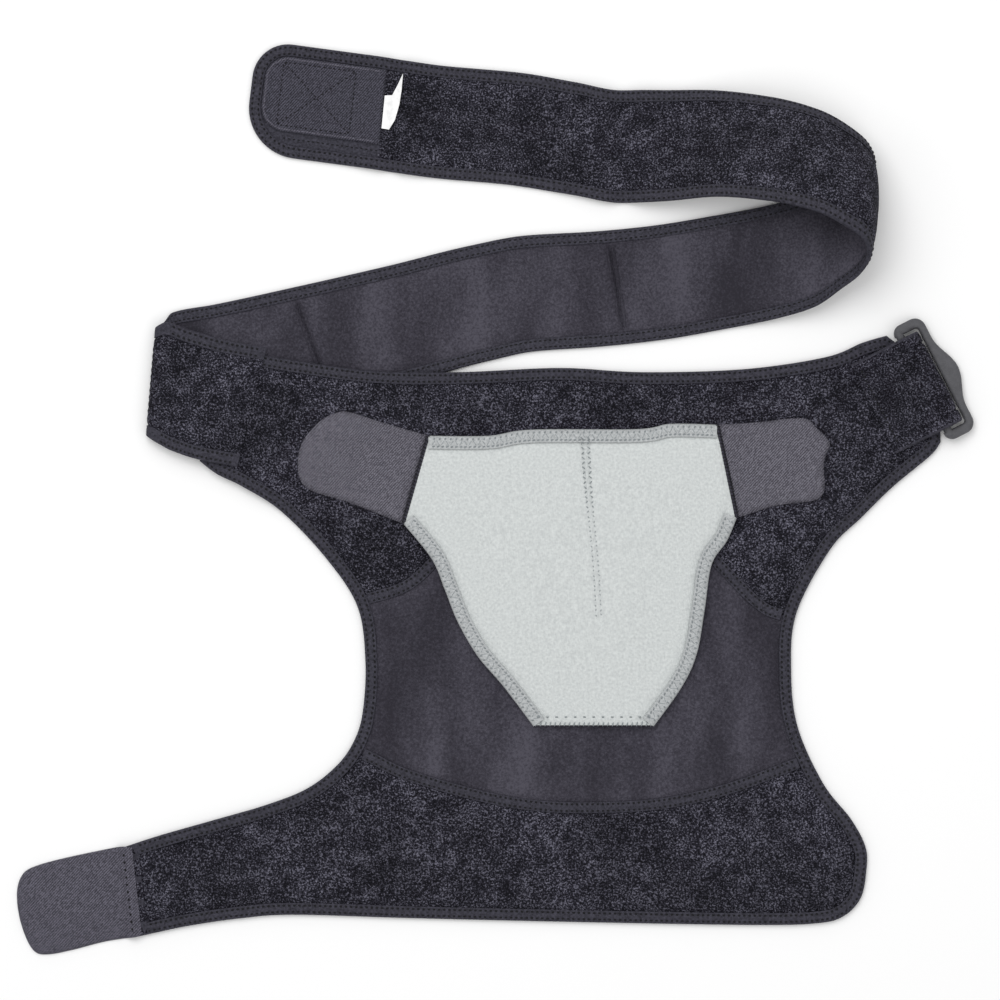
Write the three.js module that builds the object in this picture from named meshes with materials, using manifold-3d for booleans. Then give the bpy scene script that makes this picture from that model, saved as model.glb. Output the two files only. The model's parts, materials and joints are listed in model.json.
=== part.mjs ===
// Shoulder brace lying flat on a table, its chest strap spread in a loop beside it.
// Millimetres. +X runs towards the slide buckle, +Y towards the chest strap, +Z up off the table.
// Every soft piece is cut flat as a pattern and then laid: draped over the strap, or folded with it.
import * as THREE from 'three';
import { mergeVertices } from 'three/addons/utils/BufferGeometryUtils.js';
import Module from 'manifold-3d';

const wasm = await Module();
wasm.setup();

// Driving dimensions of the brace's body
const bodyWidth = 416;
const bodyDrop = 312;
const bodyWall = 3;
const seatGap = 0.3;
const seamGap = 0.4;

// Binding tape folded round an edge, and tape laid over a seam
const bindingWidth = 6.2;
const bindingLeg = 0.7;
const bindingWeb = 1;
const seamTapeWidth = 5.7;
const seamTapeWall = 0.9;

// Chest strap
const strapWidth = 58.6;
const strapRootWidth = 64;
const strapWall = 2.8;
const strapReach = 378;
const strapClimb = 174;
const bendHeight = 44;
const foldRadius = 2.5;
const foldPinch = 3;
const foldPinchRun = 4;
const archShare = 0.22;
const tipRadius = 19;
const tipLowerRadius = 26;

// Hook patch and blank label at the strap's free end
const patchLength = 63;
const patchTrim = 6.5;
const patchWall = 1.5;
const labelLength = 30;
const labelRise = 7.3;
const labelWidth = 8.6;
const labelWall = 0.8;

// Slide buckle and the folded end of the yoke that holds it
const buckleAngle = THREE.MathUtils.degToRad(27);
const slotLength = 55.2;
const buckleSide = 5.3;
const buckleWall = 3.8;
const outerBarWidth = 4.1;
const bulgeDepth = 5.5;
const bulgeLength = 40;
const barRadius = 2.2;
const pivotBack = 10.5;
const cornerRadius = 6;
const backCornerRadius = 5;
const slotClearance = 0.8;
const endClearance = 1.6;
const tableClearance = 0.1;
const flapReach = 40;
const shoulderStep = 5;
const shoulderRun = 2.4;
const flapRamp = 12;

// Pressure pad and hook tabs
const padWidth = 172;
const padHeight = 151;
const padWall = 5;
const padBindingWidth = 7;
const tabWall = 2;
const armTabLength = 58;
const leftTabLength = 62;
const rightTabLength = 54;

// How far the drape over the strap's lower strand takes to come back down to the table
const drapeRun = 25;

// Step along a curved edge and along a nearly straight one, and how far cutting bodies run past a cut
const edgeStep = 11;
const longEdgeStep = 15.4;
const overrun = 5;

// Faceting: lines to an arc, sides of a round bar, and rows in a fold of the strap and of the yoke
const arcSegments = 6;
const barSides = 16;
const strapFoldSteps = 4;
const yokeFoldSteps = 8;

// Colours of the materials
const loopCloth = { color: 0x1d1c24, roughness: 0.95, metalness: 0 };
const jersey = { color: 0x3c3a42, roughness: 0.85, metalness: 0 };
const darkTape = { color: 0x2a2932, roughness: 0.8, metalness: 0 };
const greyHook = { color: 0x5f5d68, roughness: 0.9, metalness: 0 };
const darkHook = { color: 0x30303a, roughness: 0.9, metalness: 0 };
const greyFoam = { color: 0xb9c0c0, roughness: 0.85, metalness: 0 };
const greyTape = { color: 0xa3acac, roughness: 0.8, metalness: 0 };
const whiteSatin = { color: 0xf2f2f2, roughness: 0.6, metalness: 0 };
const darkPlastic = { color: 0x5c5c61, roughness: 0.55, metalness: 0 };

// Places on the body are shares of its width and drop, from its lower left corner
const bodyPoint = ([across, up]) => new THREE.Vector2(across * bodyWidth, up * bodyDrop);

// Outline of the body, in columns [across, up]
const topEdgeShares = [
  [0.114, 0.975], [0.182, 0.958], [0.285, 0.940], [0.391, 0.938], [0.516, 0.945],
  [0.619, 0.938], [0.746, 0.943], [0.848, 0.963], [0.894, 0.987],
];
const rightArmholeShares = [
  [0.979, 0.799], [0.932, 0.747], [0.893, 0.696], [0.854, 0.643], [0.812, 0.538],
  [0.805, 0.443], [0.813, 0.348], [0.845, 0.253], [0.880, 0.193], [0.898, 0.147],
  [0.899, 0.107], [0.892, 0.062], [0.871, 0.032], [0.839, 0.020],
  [0.762, 0.017], [0.571, 0.021], [0.341, 0.028], [0.185, 0.034], [0.117, 0.028],
  [0.050, 0.015], [-0.013, -0.003],
];
const leftArmholeShares = [
  [-0.026, 0.148], [0.018, 0.167], [0.084, 0.192], [0.151, 0.218], [0.201, 0.245],
  [0.239, 0.285], [0.260, 0.327], [0.270, 0.375], [0.273, 0.458], [0.263, 0.548],
  [0.224, 0.628], [0.168, 0.706], [0.120, 0.747], [0.088, 0.768], [0.066, 0.790],
];

// Seams between the panels, in columns [across, up]
const upperSeamShares = [
  [0.241, 0.553], [0.282, 0.563], [0.330, 0.587], [0.379, 0.650], [0.448, 0.730],
  [0.535, 0.762], [0.623, 0.730], [0.691, 0.650], [0.759, 0.558], [0.790, 0.535], [0.835, 0.522],
];
const lowerSeamShares = [
  [0.229, 0.318], [0.273, 0.300], [0.324, 0.268], [0.417, 0.232], [0.494, 0.215],
  [0.571, 0.213], [0.647, 0.220], [0.724, 0.243], [0.800, 0.280], [0.854, 0.308],
];

// Line on the body along which its drape over the strap starts to come down, in columns [across, up]
const drapeLineShares = [[0.129, 0.742], [0.385, 0.950]];

// Middle of the buckle's outer bar, on its inner edge
const buckleShares = [0.993, 0.934];

// Top left corner of the pad on the body
const padCornerShares = [0.352, 0.832];

// Pad outline from that corner, in shares [across, down] of the pad's own width and height
const padTopShares = [[0, 0], [0.18, 0], [0.31, -0.021], [0.63, -0.023], [0.73, -0.041], [0.871, -0.038]];
const padRightShares = [
  [0.931, 0.283], [0.901, 0.362], [0.855, 0.444], [0.834, 0.599], [0.81, 0.751], [0.765, 0.864], [0.68, 1],
];
const padLeftShares = [
  [0.317, 1], [0.227, 0.864], [0.148, 0.758], [0.088, 0.641], [0.048, 0.527], [0.009, 0.423], [-0.076, 0.303],
];

// Hook tab outlines in shares [out, along] of their length and root width
const armTabShares = [
  [0.10, 0], [0.54, 0.05], [0.81, 0.10], [0.94, 0.17], [1.01, 0.34], [1.02, 0.60], [0.98, 0.87],
  [0.91, 1.04], [0.79, 1.08], [0.57, 1.06], [0.27, 1.01],
];
const leftTabShares = [
  [0.37, 0], [0.68, -0.01], [0.78, 0.03], [0.90, 0.17], [0.99, 0.42], [0.99, 0.64], [0.93, 0.84],
  [0.80, 0.93], [0.48, 0.94],
];
const rightTabShares = [
  [0.38, 0.04], [0.74, 0.01], [0.85, 0.05], [0.89, 0.16], [0.92, 0.36], [0.97, 0.47], [1.02, 0.57],
  [0.93, 0.74], [0.81, 0.88], [0.35, 0.94],
];

// Blank label outline, in shares [out of the patch, up along its straight edge]
const labelShares = [
  [0, 0], [0.45, 0], [0.76, 0.19], [0.94, 0.46], [1, 0.72], [1, 1], [0.7, 0.77], [0.45, 0.6], [0, 0.57],
];

// The strap's sewn end on the body: its two edges, in shares of the body [across, up, across, up]
const sewnShares = [
  [0.149, 0.975, 0.114, 0.784],
  [0.096, 0.990, 0.064, 0.795],
  [0.052, 1.008, 0.030, 0.809],
];
const foldShares = [0.020, 1.024, 0.007, 0.820];
const strapStartShares = [0.004, 0.925];

// The laid strap, row by row from the fold: the first edge, then the second, in shares [reach, climb] of
// the strap's reach and climb, then how high each edge stands, in shares of the bend's height
const laidRows = [
  [0.030, 0.200, 0.028, -0.161, 0, 0],
  [0.089, 0.224, 0.107, -0.131, 0, 0],
  [0.206, 0.278, 0.231, -0.069, 0, 0],
  [0.330, 0.340, 0.358, -0.003, 0, 0],
  [0.440, 0.400, 0.464, 0.057, 0, 0],
  [0.516, 0.430, 0.530, 0.087, 0, 0],
  [0.605, 0.442, 0.613, 0.099, 0, 0],
  [0.688, 0.460, 0.702, 0.119, 0, 0],
  [0.777, 0.490, 0.795, 0.155, 0, 0],
  [0.839, 0.510, 0.860, 0.188, 0, 0.07],
  [0.894, 0.537, 0.911, 0.224, 0, 0.20],
  [0.946, 0.578, 0.946, 0.278, 0.02, 0.36],
  [0.977, 0.624, 0.974, 0.324, 0.09, 0.55],
  [0.991, 0.664, 0.984, 0.366, 0.18, 0.75],
  [0.983, 0.709, 0.979, 0.403, 0.28, 0.91],
  [0.963, 0.756, 0.953, 0.439, 0.35, 1],
  [0.920, 0.809, 0.911, 0.487, 0.36, 0.95],
  [0.853, 0.846, 0.846, 0.524, 0.27, 0.77],
  [0.777, 0.860, 0.773, 0.546, 0.11, 0.50],
  [0.708, 0.866, 0.707, 0.531, 0, 0.18],
  [0.646, 0.866, 0.646, 0.528, 0, 0],
  [0.585, 0.890, 0.580, 0.552, 0, 0],
  [0.509, 0.916, 0.492, 0.585, 0, 0],
  [0.399, 0.937, 0.389, 0.606, 0, 0],
  [0.303, 0.970, 0.286, 0.636, 0, 0],
  [0.227, 0.994, 0.209, 0.657, 0, 0],
  [0.147, 1.015, 0.128, 0.684, 0, 0],
];

// Sizes that follow from the driving dimensions
const flapWidth = slotLength - 2 * endClearance;
const foldOuter = bodyWall + barRadius + seatGap;
const foldBack = foldOuter + slotClearance;
const foldMiddle = foldOuter - bodyWall / 2;
const drapeLift = strapWall + seatGap;
const onBody = bodyWall + seatGap;
const outer = buckleDirection(0);
const along = buckleDirection(-Math.PI / 2);
const buckleCentre = bodyPoint(buckleShares);

function buckleDirection(turn) {
  return new THREE.Vector2(Math.cos(buckleAngle + turn), Math.sin(buckleAngle + turn));
}

// A point in the buckle's frame: outward from the outer bar's inner edge, and along the bar
function bucklePoint(out, down) {
  return buckleCentre.clone().addScaledVector(outer, out).addScaledVector(along, down);
}

// Smooth curve through points, as evenly spaced points
function curve(points, step = edgeStep) {
  const spline = new THREE.SplineCurve(points);
  return spline.getSpacedPoints(Math.ceil(spline.getLength() / step));
}

// Points of a polyline moved sideways to its right, with mitred corners
function offset(line, distance) {
  const side = line.slice(1).map((point, i) => {
    const run = point.clone().sub(line[i]).normalize();
    return new THREE.Vector2(run.y, -run.x);
  });
  return line.map((point, i) => {
    const before = side[Math.max(i - 1, 0)];
    const after = side[Math.min(i, side.length - 1)];
    const mitre = before.clone().add(after).divideScalar(1 + before.dot(after));
    return point.clone().addScaledVector(mitre, distance);
  });
}

// The same polyline with both ends carried on by a length
function extended(line, length) {
  const first = line[0].clone().add(line[0].clone().sub(line[1]).setLength(length));
  const last = line.at(-1).clone().add(line.at(-1).clone().sub(line.at(-2)).setLength(length));
  return [first, ...line, last];
}

// Closed geometry as a solid that can be joined and cut
function solid(geometry) {
  const bare = new THREE.BufferGeometry().setAttribute('position', geometry.getAttribute('position'));
  if (geometry.index) bare.setIndex(geometry.index);
  const merged = mergeVertices(bare, 1e-4);
  return new wasm.Manifold(new wasm.Mesh({
    numProp: 3,
    vertProperties: new Float32Array(merged.getAttribute('position').array),
    triVerts: new Uint32Array(merged.index.array),
  }));
}

// Flat plate with an outline, between two heights
function plate(points, low, high) {
  const shape = new THREE.Shape(points);
  const geometry = new THREE.ExtrudeGeometry(shape, { depth: high - low, bevelEnabled: false });
  return solid(geometry.translate(0, 0, low));
}

// Section, in columns [inward, height], carried along the right side of a polyline
function strip(line, section) {
  const rails = section.map(([inward]) => offset(line, inward));
  const positions = [];
  const indices = [];
  const count = section.length;
  for (let i = 0; i < line.length; i += 1) {
    section.forEach(([, height], j) => positions.push(rails[j][i].x, rails[j][i].y, height));
  }
  for (let i = 0; i < line.length - 1; i += 1) {
    for (let j = 0; j < count; j += 1) {
      const [a, b] = [i * count + j, i * count + ((j + 1) % count)];
      indices.push(a, a + count, b, b, a + count, b + count);
    }
  }
  const cap = THREE.ShapeUtils.triangulateShape(section.map(([x, y]) => new THREE.Vector2(x, y)), []);
  const last = (line.length - 1) * count;
  cap.forEach(([a, b, c]) => indices.push(a, b, c, last + a, last + c, last + b));
  const geometry = new THREE.BufferGeometry();
  geometry.setAttribute('position', new THREE.Float32BufferAttribute(positions, 3));
  geometry.setIndex(indices);
  return solid(geometry);
}

// Block between two heights that runs along the right side of a polyline
function block(line, near, far, low, high) {
  return strip(line, [[near, low], [far, low], [far, high], [near, high]]);
}

// Tape folded round an edge: a web outside and two legs over the pressed edge
function foldedTape(line, wall, width, low = 0) {
  const leg = bindingLeg * (wall / bodyWall);
  const section = [
    [0, 0], [width, 0], [width, leg], [bindingWeb, leg],
    [bindingWeb, wall - leg], [width, wall - leg], [width, wall], [0, wall],
  ];
  return strip(line, section.map(([inward, height]) => [inward, low + height]));
}

// Panel whose bound edges are pressed to a thin tongue that runs inside the folded tape
function boundPanel(outline, boundEdges, wall, width, low = 0) {
  const leg = bindingLeg * (wall / bodyWall) + seatGap;
  let full = plate(outline, low, low + wall);
  let tongue = plate(outline, low + leg, low + wall - leg);
  for (const edge of boundEdges) {
    const cutter = extended(edge, seatGap);
    const [under, over] = [low - overrun, low + wall + overrun];
    full = full.subtract(block(cutter, -overrun, width + seatGap, under, over));
    tongue = tongue.subtract(block(cutter, -overrun, bindingWeb + seatGap, under, over));
  }
  return full.add(tongue);
}

// Faces cut along lines, given as a direction and the distances along it, and then laid by a function
function laid(piece, cuts, place) {
  const mesh = piece.getMesh();
  const points = [];
  for (let i = 0; i < mesh.numVert; i += 1) {
    points.push(new THREE.Vector3().fromArray(mesh.vertProperties, i * mesh.numProp));
  }
  let faces = [];
  for (let i = 0; i < mesh.numTri; i += 1) faces.push([...mesh.triVerts.slice(3 * i, 3 * i + 3)]);
  for (const { direction, distances } of cuts) {
    for (const distance of distances) faces = cutAlong(points, faces, direction, distance);
  }
  const geometry = new THREE.BufferGeometry();
  geometry.setFromPoints(points.map(place));
  geometry.setIndex(merged(points, faces, cuts));
  return geometry;
}

function fan(face) {
  return face.slice(2).flatMap((corner, i) => [face[0], face[i + 1], corner]);
}

// Fineness to which two faces count as level with each other, and the bend of a straight edge
const facingSteps = 200;
const levelSteps = 20;
const straightBend = 1e-3;

// Name of the plane that a face lies in
function levelOf(plane) {
  const facing = [...plane.normal].map((value) => Math.round(value * facingSteps));
  return [...facing, Math.round(plane.constant * levelSteps)].join(' ');
}

// Triangles of flat faces, each joined first to its level neighbours between the same cutting lines
function merged(points, faces, cuts) {
  const groups = new Map();
  const planesAt = points.map(() => new Set());
  for (const face of faces) {
    const plane = new THREE.Plane().setFromCoplanarPoints(...widest(points, face));
    const level = levelOf(plane);
    const centre = new THREE.Vector3();
    face.forEach((corner) => centre.addScaledVector(points[corner], 1 / face.length));
    const cell = cuts.map(({ direction, distances }) => {
      const reach = centre.x * direction.x + centre.y * direction.y;
      return distances.filter((distance) => distance < reach).length;
    });
    const key = [level, ...cell].join(' ');
    if (!groups.has(key)) groups.set(key, { plane, faces: [] });
    groups.get(key).faces.push(face);
    face.forEach((corner) => planesAt[corner].add(level));
  }
  const parts = [...groups.values()].flatMap(({ plane, faces: level }) => (
    islands(level).map((island) => ({ plane, faces: island, loops: borders(island) }))
  ));
  const kept = new Set();
  const needed = (loop, i) => {
    const corners = [loop.at(i - 1), loop[i], loop[(i + 1) % loop.length]];
    const [before, here, after] = corners.map((corner) => points[corner]);
    const bend = here.clone().sub(before).normalize().cross(after.clone().sub(here).normalize()).length();
    return planesAt[loop[i]].size > 1 || kept.has(loop[i]) || bend > straightBend;
  };
  const fill = ({ plane, loops }) => {
    const bare = loops.map((loop) => loop.filter((_, i) => needed(loop, i)));
    return filled(points, plane, bare);
  };
  for (const part of parts) {
    if (!fill(part)) part.faces.flat().forEach((corner) => kept.add(corner));
  }
  return parts.flatMap((part) => fill(part) ?? part.faces.flatMap(fan));
}

// Faces grouped by the edges that they share
function islands(faces) {
  const owner = new Map();
  faces.forEach((face, at) => {
    face.forEach((from, i) => owner.set(`${from} ${face[(i + 1) % face.length]}`, at));
  });
  const left = new Set(faces.keys());
  const found = [];
  while (left.size) {
    const queue = [left.values().next().value];
    left.delete(queue[0]);
    for (const at of queue) {
      const face = faces[at];
      face.forEach((from, i) => {
        const neighbour = owner.get(`${face[(i + 1) % face.length]} ${from}`);
        if (left.delete(neighbour)) queue.push(neighbour);
      });
    }
    found.push(queue.map((at) => faces[at]));
  }
  return found;
}

// Three corners of a face that span it best
function widest(points, face) {
  const [first, ...others] = face.map((corner) => points[corner]);
  const second = others.reduce((far, point) => (
    point.distanceTo(first) > far.distanceTo(first) ? point : far
  ));
  const longest = second.clone().sub(first);
  const area = (point) => longest.clone().cross(point.clone().sub(first)).length();
  const third = others.reduce((far, point) => (area(point) > area(far) ? point : far));
  return others.indexOf(second) < others.indexOf(third) ? [first, second, third] : [first, third, second];
}

// Closed loops of the edges that only one of the faces has
function borders(faces) {
  const edges = new Map();
  for (const face of faces) {
    face.forEach((from, i) => {
      const to = face[(i + 1) % face.length];
      edges.set(`${from} ${to}`, [from, to]);
    });
  }
  const next = new Map();
  for (const [from, to] of edges.values()) {
    if (!edges.has(`${to} ${from}`)) next.set(from, next.has(from) ? null : to);
  }
  const loops = [];
  while (next.size) {
    const loop = [];
    let at = next.keys().next().value;
    while (next.has(at)) {
      loop.push(at);
      const following = next.get(at);
      next.delete(at);
      at = following;
    }
    loops.push(at === loop[0] ? loop : []);
  }
  return loops;
}

// Triangles that fill loops in a plane, or nothing where the loops touch
function filled(points, plane, loops) {
  const turn = new THREE.Quaternion().setFromUnitVectors(plane.normal, new THREE.Vector3(0, 0, 1));
  const flat = loops.map((loop) => loop.map((corner) => {
    const point = points[corner].clone().applyQuaternion(turn);
    return new THREE.Vector2(point.x, point.y);
  }));
  const outers = loops.filter((_, i) => THREE.ShapeUtils.area(flat[i]) > 0);
  if (loops.some((loop) => loop.length < 3) || outers.length !== 1) return null;
  const order = [...new Set([loops.indexOf(outers[0]), ...loops.keys()])];
  const corners = order.flatMap((at) => loops[at]);
  const triangles = THREE.ShapeUtils.triangulateShape(flat[order[0]], order.slice(1).map((at) => flat[at]));
  if (triangles.length !== corners.length + 2 * (loops.length - 1) - 2) return null;
  const place = order.flatMap((at) => flat[at]);
  const areas = triangles.map((triangle) => THREE.ShapeUtils.area(triangle.map((i) => place[i])));
  const area = areas.reduce((sum, value) => sum + value, 0);
  return triangles.flatMap(([a, b, c]) => (area > 0 ? [a, b, c] : [a, c, b])).map((i) => corners[i]);
}

// Closer to the cutting line than this, a point counts as on it
const onLine = 1e-4;

function cutAlong(points, faces, direction, distance) {
  const height = points.map((point) => point.x * direction.x + point.y * direction.y - distance);
  const side = height.map((value) => (Math.abs(value) < onLine ? 0 : Math.sign(value)));
  const middles = new Map();
  const crossing = (a, b) => {
    const [from, to] = a < b ? [a, b] : [b, a];
    const key = `${from} ${to}`;
    if (!middles.has(key)) {
      const share = height[from] / (height[from] - height[to]);
      middles.set(key, points.push(points[from].clone().lerp(points[to], share)) - 1);
    }
    return middles.get(key);
  };
  const half = (face, kept) => face.flatMap((corner, i) => {
    const next = face[(i + 1) % face.length];
    const here = side[corner] === kept || side[corner] === 0 ? [corner] : [];
    return side[corner] * side[next] < 0 ? [...here, crossing(corner, next)] : here;
  });
  return faces.flatMap((face) => {
    const signs = face.map((corner) => side[corner]);
    return signs.includes(1) && signs.includes(-1) ? [half(face, 1), half(face, -1)] : [face];
  });
}

// Height of the body's drape over the strap's lower strand
const [drapeStart, drapeEnd] = drapeLineShares.map(bodyPoint);
const drapeRunDirection = drapeEnd.clone().sub(drapeStart).normalize();
const drapeDown = new THREE.Vector2(drapeRunDirection.y, -drapeRunDirection.x);
const drapeOffset = drapeStart.dot(drapeDown);

// The drape comes down in three straight runs, in columns [share of the run, share of the lift]
const drapeProfile = [[0, 1], [0.3, 0.85], [0.7, 0.15], [1, 0]];

function profile(rows, value) {
  const next = rows.findIndex(([at]) => at >= value);
  if (next === 0) return rows[0][1];
  if (next < 0) return rows.at(-1)[1];
  const [[from, start], [to, end]] = [rows[next - 1], rows[next]];
  return start + ((end - start) * (value - from)) / (to - from);
}

function drape(point) {
  const past = (point.x * drapeDown.x + point.y * drapeDown.y - drapeOffset) / drapeRun;
  return drapeLift * profile(drapeProfile, past);
}

// The yoke's end goes round the buckle's inner bar and back over itself
const foldStart = -foldBack;
const foldLength = Math.PI * foldMiddle;
const rampStart = pivotBack - foldBack + barRadius + slotClearance;
const flapDrop = 2 * (foldOuter - bodyWall) - seatGap;
const patternEnd = foldStart + foldLength + flapReach - foldBack;

function lay(point) {
  const flat = new THREE.Vector2(point.x, point.y);
  const out = flat.clone().sub(buckleCentre).dot(outer);
  if (out <= foldStart) return new THREE.Vector3(point.x, point.y, point.z + drape(point));
  const past = out - foldStart;
  const radius = foldOuter - point.z;
  const angle = Math.min(past / foldMiddle, Math.PI);
  const back = Math.max(past - foldLength, 0);
  const moved = flat.addScaledVector(outer, foldStart + radius * Math.sin(angle) - back - out);
  const drop = flapDrop * THREE.MathUtils.clamp((back - rampStart) / flapRamp, 0, 1);
  return new THREE.Vector3(moved.x, moved.y, foldOuter - radius * Math.cos(angle) - drop);
}

const buckleDistance = buckleCentre.dot(outer);
const bodyCuts = [
  { direction: drapeDown, distances: drapeProfile.map(([share]) => drapeOffset + share * drapeRun) },
  {
    direction: outer,
    distances: [
      ...Array.from({ length: yokeFoldSteps + 1 }, (_, i) => foldStart + (foldLength * i) / yokeFoldSteps),
      foldStart + foldLength + rampStart,
      foldStart + foldLength + rampStart + flapRamp,
    ].map((out) => buckleDistance + out),
  },
];

const laidOnTable = (piece) => laid(piece, bodyCuts, lay);

// Body outline: the top edge out to the flap's end, and the lower edge from there round to the strap
const stepOut = -(pivotBack + buckleSide / 2 + slotClearance);
const stepIn = stepOut - shoulderRun;
const flapSide = (side, out) => bucklePoint(out, (side * flapWidth) / 2);
const shoulderCorner = (side) => bucklePoint(stepIn, side * (flapWidth / 2 + shoulderStep));
const topEdge = [
  ...curve([...topEdgeShares.map(bodyPoint), shoulderCorner(-1)], longEdgeStep),
  flapSide(-1, stepOut),
  flapSide(-1, patternEnd),
];
const lowerEdge = [
  flapSide(1, patternEnd),
  flapSide(1, stepOut),
  ...curve([shoulderCorner(1), ...rightArmholeShares.map(bodyPoint)]),
  ...curve(leftArmholeShares.map(bodyPoint)),
];
const bodyOutline = [...topEdge, ...lowerEdge];
const bodyPanel = boundPanel(bodyOutline, [topEdge, lowerEdge], bodyWall, bindingWidth);

// Region on one side of a seam, as a plate that cuts the body
function beyondSeam(seam, side) {
  const border = offset(seam, side * (seamGap / 2));
  const far = side * -2 * bodyDrop;
  const right = border.at(-1).clone().setX(border.at(-1).x + bodyWidth);
  const left = border[0].clone().setX(border[0].x - bodyWidth);
  const corners = [right, right.clone().setY(right.y + far), left.clone().setY(left.y + far), left];
  return plate([...border, ...corners], -overrun, bodyWall + overrun);
}

function seamTape(seam, room, extra) {
  const half = seamTapeWidth / 2 + extra;
  return block(seam, -half, half, bodyWall - seamTapeWall - extra, bodyWall + room);
}

const upperSeam = curve(upperSeamShares.map(bodyPoint));
const lowerSeam = curve(lowerSeamShares.map(bodyPoint), longEdgeStep);
const panelStock = bodyPanel
  .subtract(seamTape(upperSeam, overrun, seatGap))
  .subtract(seamTape(lowerSeam, overrun, seatGap));
let insideBindings = plate(bodyOutline, -overrun, bodyWall + overrun);
for (const edge of [topEdge, lowerEdge]) {
  const clearWidth = bindingWidth + 2 * seatGap;
  insideBindings = insideBindings.subtract(block(edge, -overrun, clearWidth, -overrun, bodyWall + overrun));
}

// Chest strap: its edges pass through the rows, its width stays its own
const strapOrigin = bodyPoint(strapStartShares);
const tableHeight = strapWall / 2;
const sewnHeight = drapeLift + bodyWall + seatGap + strapWall / 2;
const foldTop = tableHeight + 2 * foldRadius;
const strapPoint = (reach, climb, high) => new THREE.Vector3(
  strapOrigin.x + reach * strapReach,
  strapOrigin.y + climb * strapClimb,
  tableHeight + high * bendHeight,
);

function sewnRows() {
  const heights = [sewnHeight, sewnHeight, (sewnHeight + foldTop) / 2];
  return sewnShares.map((row, i) => [row.slice(0, 2), row.slice(2)].map((pair) => {
    const point = bodyPoint(pair);
    return new THREE.Vector3(point.x, point.y, heights[i]);
  }));
}

function foldRows() {
  const edges = [foldShares.slice(0, 2), foldShares.slice(2)].map(bodyPoint);
  return Array.from({ length: strapFoldSteps + 1 }, (_, step) => edges.map((edge) => {
    const angle = (Math.PI * step) / strapFoldSteps;
    const left = edge.x - foldRadius * Math.sin(angle);
    return new THREE.Vector3(left, edge.y, tableHeight + foldRadius * (1 + Math.cos(angle)));
  }));
}

const strapRows = [
  ...sewnRows(),
  ...foldRows(),
  ...laidRows.map(([reach1, climb1, reach2, climb2, high1, high2]) => [
    strapPoint(reach1, climb1, high1),
    strapPoint(reach2, climb2, high2),
  ]),
];

// Smooth line through values at given places that never runs past them
function smoothThrough(places, values) {
  const rise = values.slice(1).map((value, i) => (value - values[i]) / (places[i + 1] - places[i]));
  const slope = values.map((_, i) => {
    const [before, after] = [rise[Math.max(i - 1, 0)], rise[Math.min(i, rise.length - 1)]];
    return before * after > 0 ? (2 * before * after) / (before + after) : 0;
  });
  return (place) => {
    const next = THREE.MathUtils.clamp(places.findIndex((value) => value > place), 1, places.length - 1);
    const i = places.at(-1) <= place ? places.length - 2 : next - 1;
    const run = places[i + 1] - places[i];
    const t = (place - places[i]) / run;
    const [low, high] = [values[i], values[i + 1]];
    return low * (1 + 2 * t) * (1 - t) ** 2 + high * t * t * (3 - 2 * t)
      + run * t * (1 - t) * ((1 - t) * slope[i] - t * slope[i + 1]);
  };
}

const rowMiddles = strapRows.map(([first, second]) => first.clone().lerp(second, 0.5));
const rowPlaces = rowMiddles.reduce((places, point, i) => {
  const step = i === 0 ? 0 : point.distanceTo(rowMiddles[i - 1]);
  return [...places, (places.at(-1) ?? 0) + step];
}, []);
const strapLength = rowPlaces.at(-1);
const strapEdge = [0, 1].map((edge) => {
  const [x, y, z] = ['x', 'y', 'z'].map((axis) => (
    smoothThrough(rowPlaces, strapRows.map((row) => row[edge][axis]))
  ));
  return (place) => new THREE.Vector3(x(place), y(place), z(place));
});

// The strap's width narrows where it folds, and its section arches where it stands up off the table
const foldPlace = rowPlaces[sewnShares.length + strapFoldSteps / 2];

function strapPose(place) {
  const nudge = 0.5;
  const middle = (at) => strapEdge[0](at).lerp(strapEdge[1](at), 0.5);
  const [before, after] = [Math.max(place - nudge, 0), Math.min(place + nudge, strapLength)];
  const run = middle(after).sub(middle(before)).normalize();
  const across = strapEdge[1](place).sub(strapEdge[0](place)).normalize();
  const up = run.clone().cross(across).normalize();
  const taper = THREE.MathUtils.lerp(strapRootWidth, strapWidth, Math.min((2 * place) / strapLength, 1));
  const pinch = 2 * foldPinch * Math.exp(-(((place - foldPlace) / foldPinchRun) ** 2));
  const width = taper - pinch;
  const centre = middle(place);
  centre.z = Math.max(centre.z, tableHeight + (Math.abs(across.z) * width) / 2);
  const arch = archShare * Math.max(centre.z - sewnHeight, 0);
  return { centre, across, up, arch, scale: width / strapWidth };
}

function layStrap(point) {
  const pose = strapPose(THREE.MathUtils.clamp(point.x, 0, strapLength));
  const bulge = pose.arch * (1 - ((2 * point.y) / strapWidth) ** 2);
  return pose.centre
    .addScaledVector(pose.across, point.y * pose.scale)
    .addScaledVector(pose.up, point.z + bulge);
}

// The strap bends only across its rows, and halfway between rows that stand up off the table
const standing = strapRows.map((row) => row.some((point) => point.z > foldTop));
const strapStations = rowPlaces.flatMap((place, i) => {
  const halfway = standing[i] && standing[i - 1] && i > sewnShares.length;
  return halfway ? [(place + rowPlaces[i - 1]) / 2, place] : [place];
});
const strapThird = strapWidth / 3;
const strapCuts = [
  { direction: new THREE.Vector2(1, 0), distances: strapStations },
  { direction: new THREE.Vector2(0, 1), distances: [-strapThird / 2, strapThird / 2] },
];
const laidStrap = (piece) => laid(piece, strapCuts, layStrap);

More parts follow.
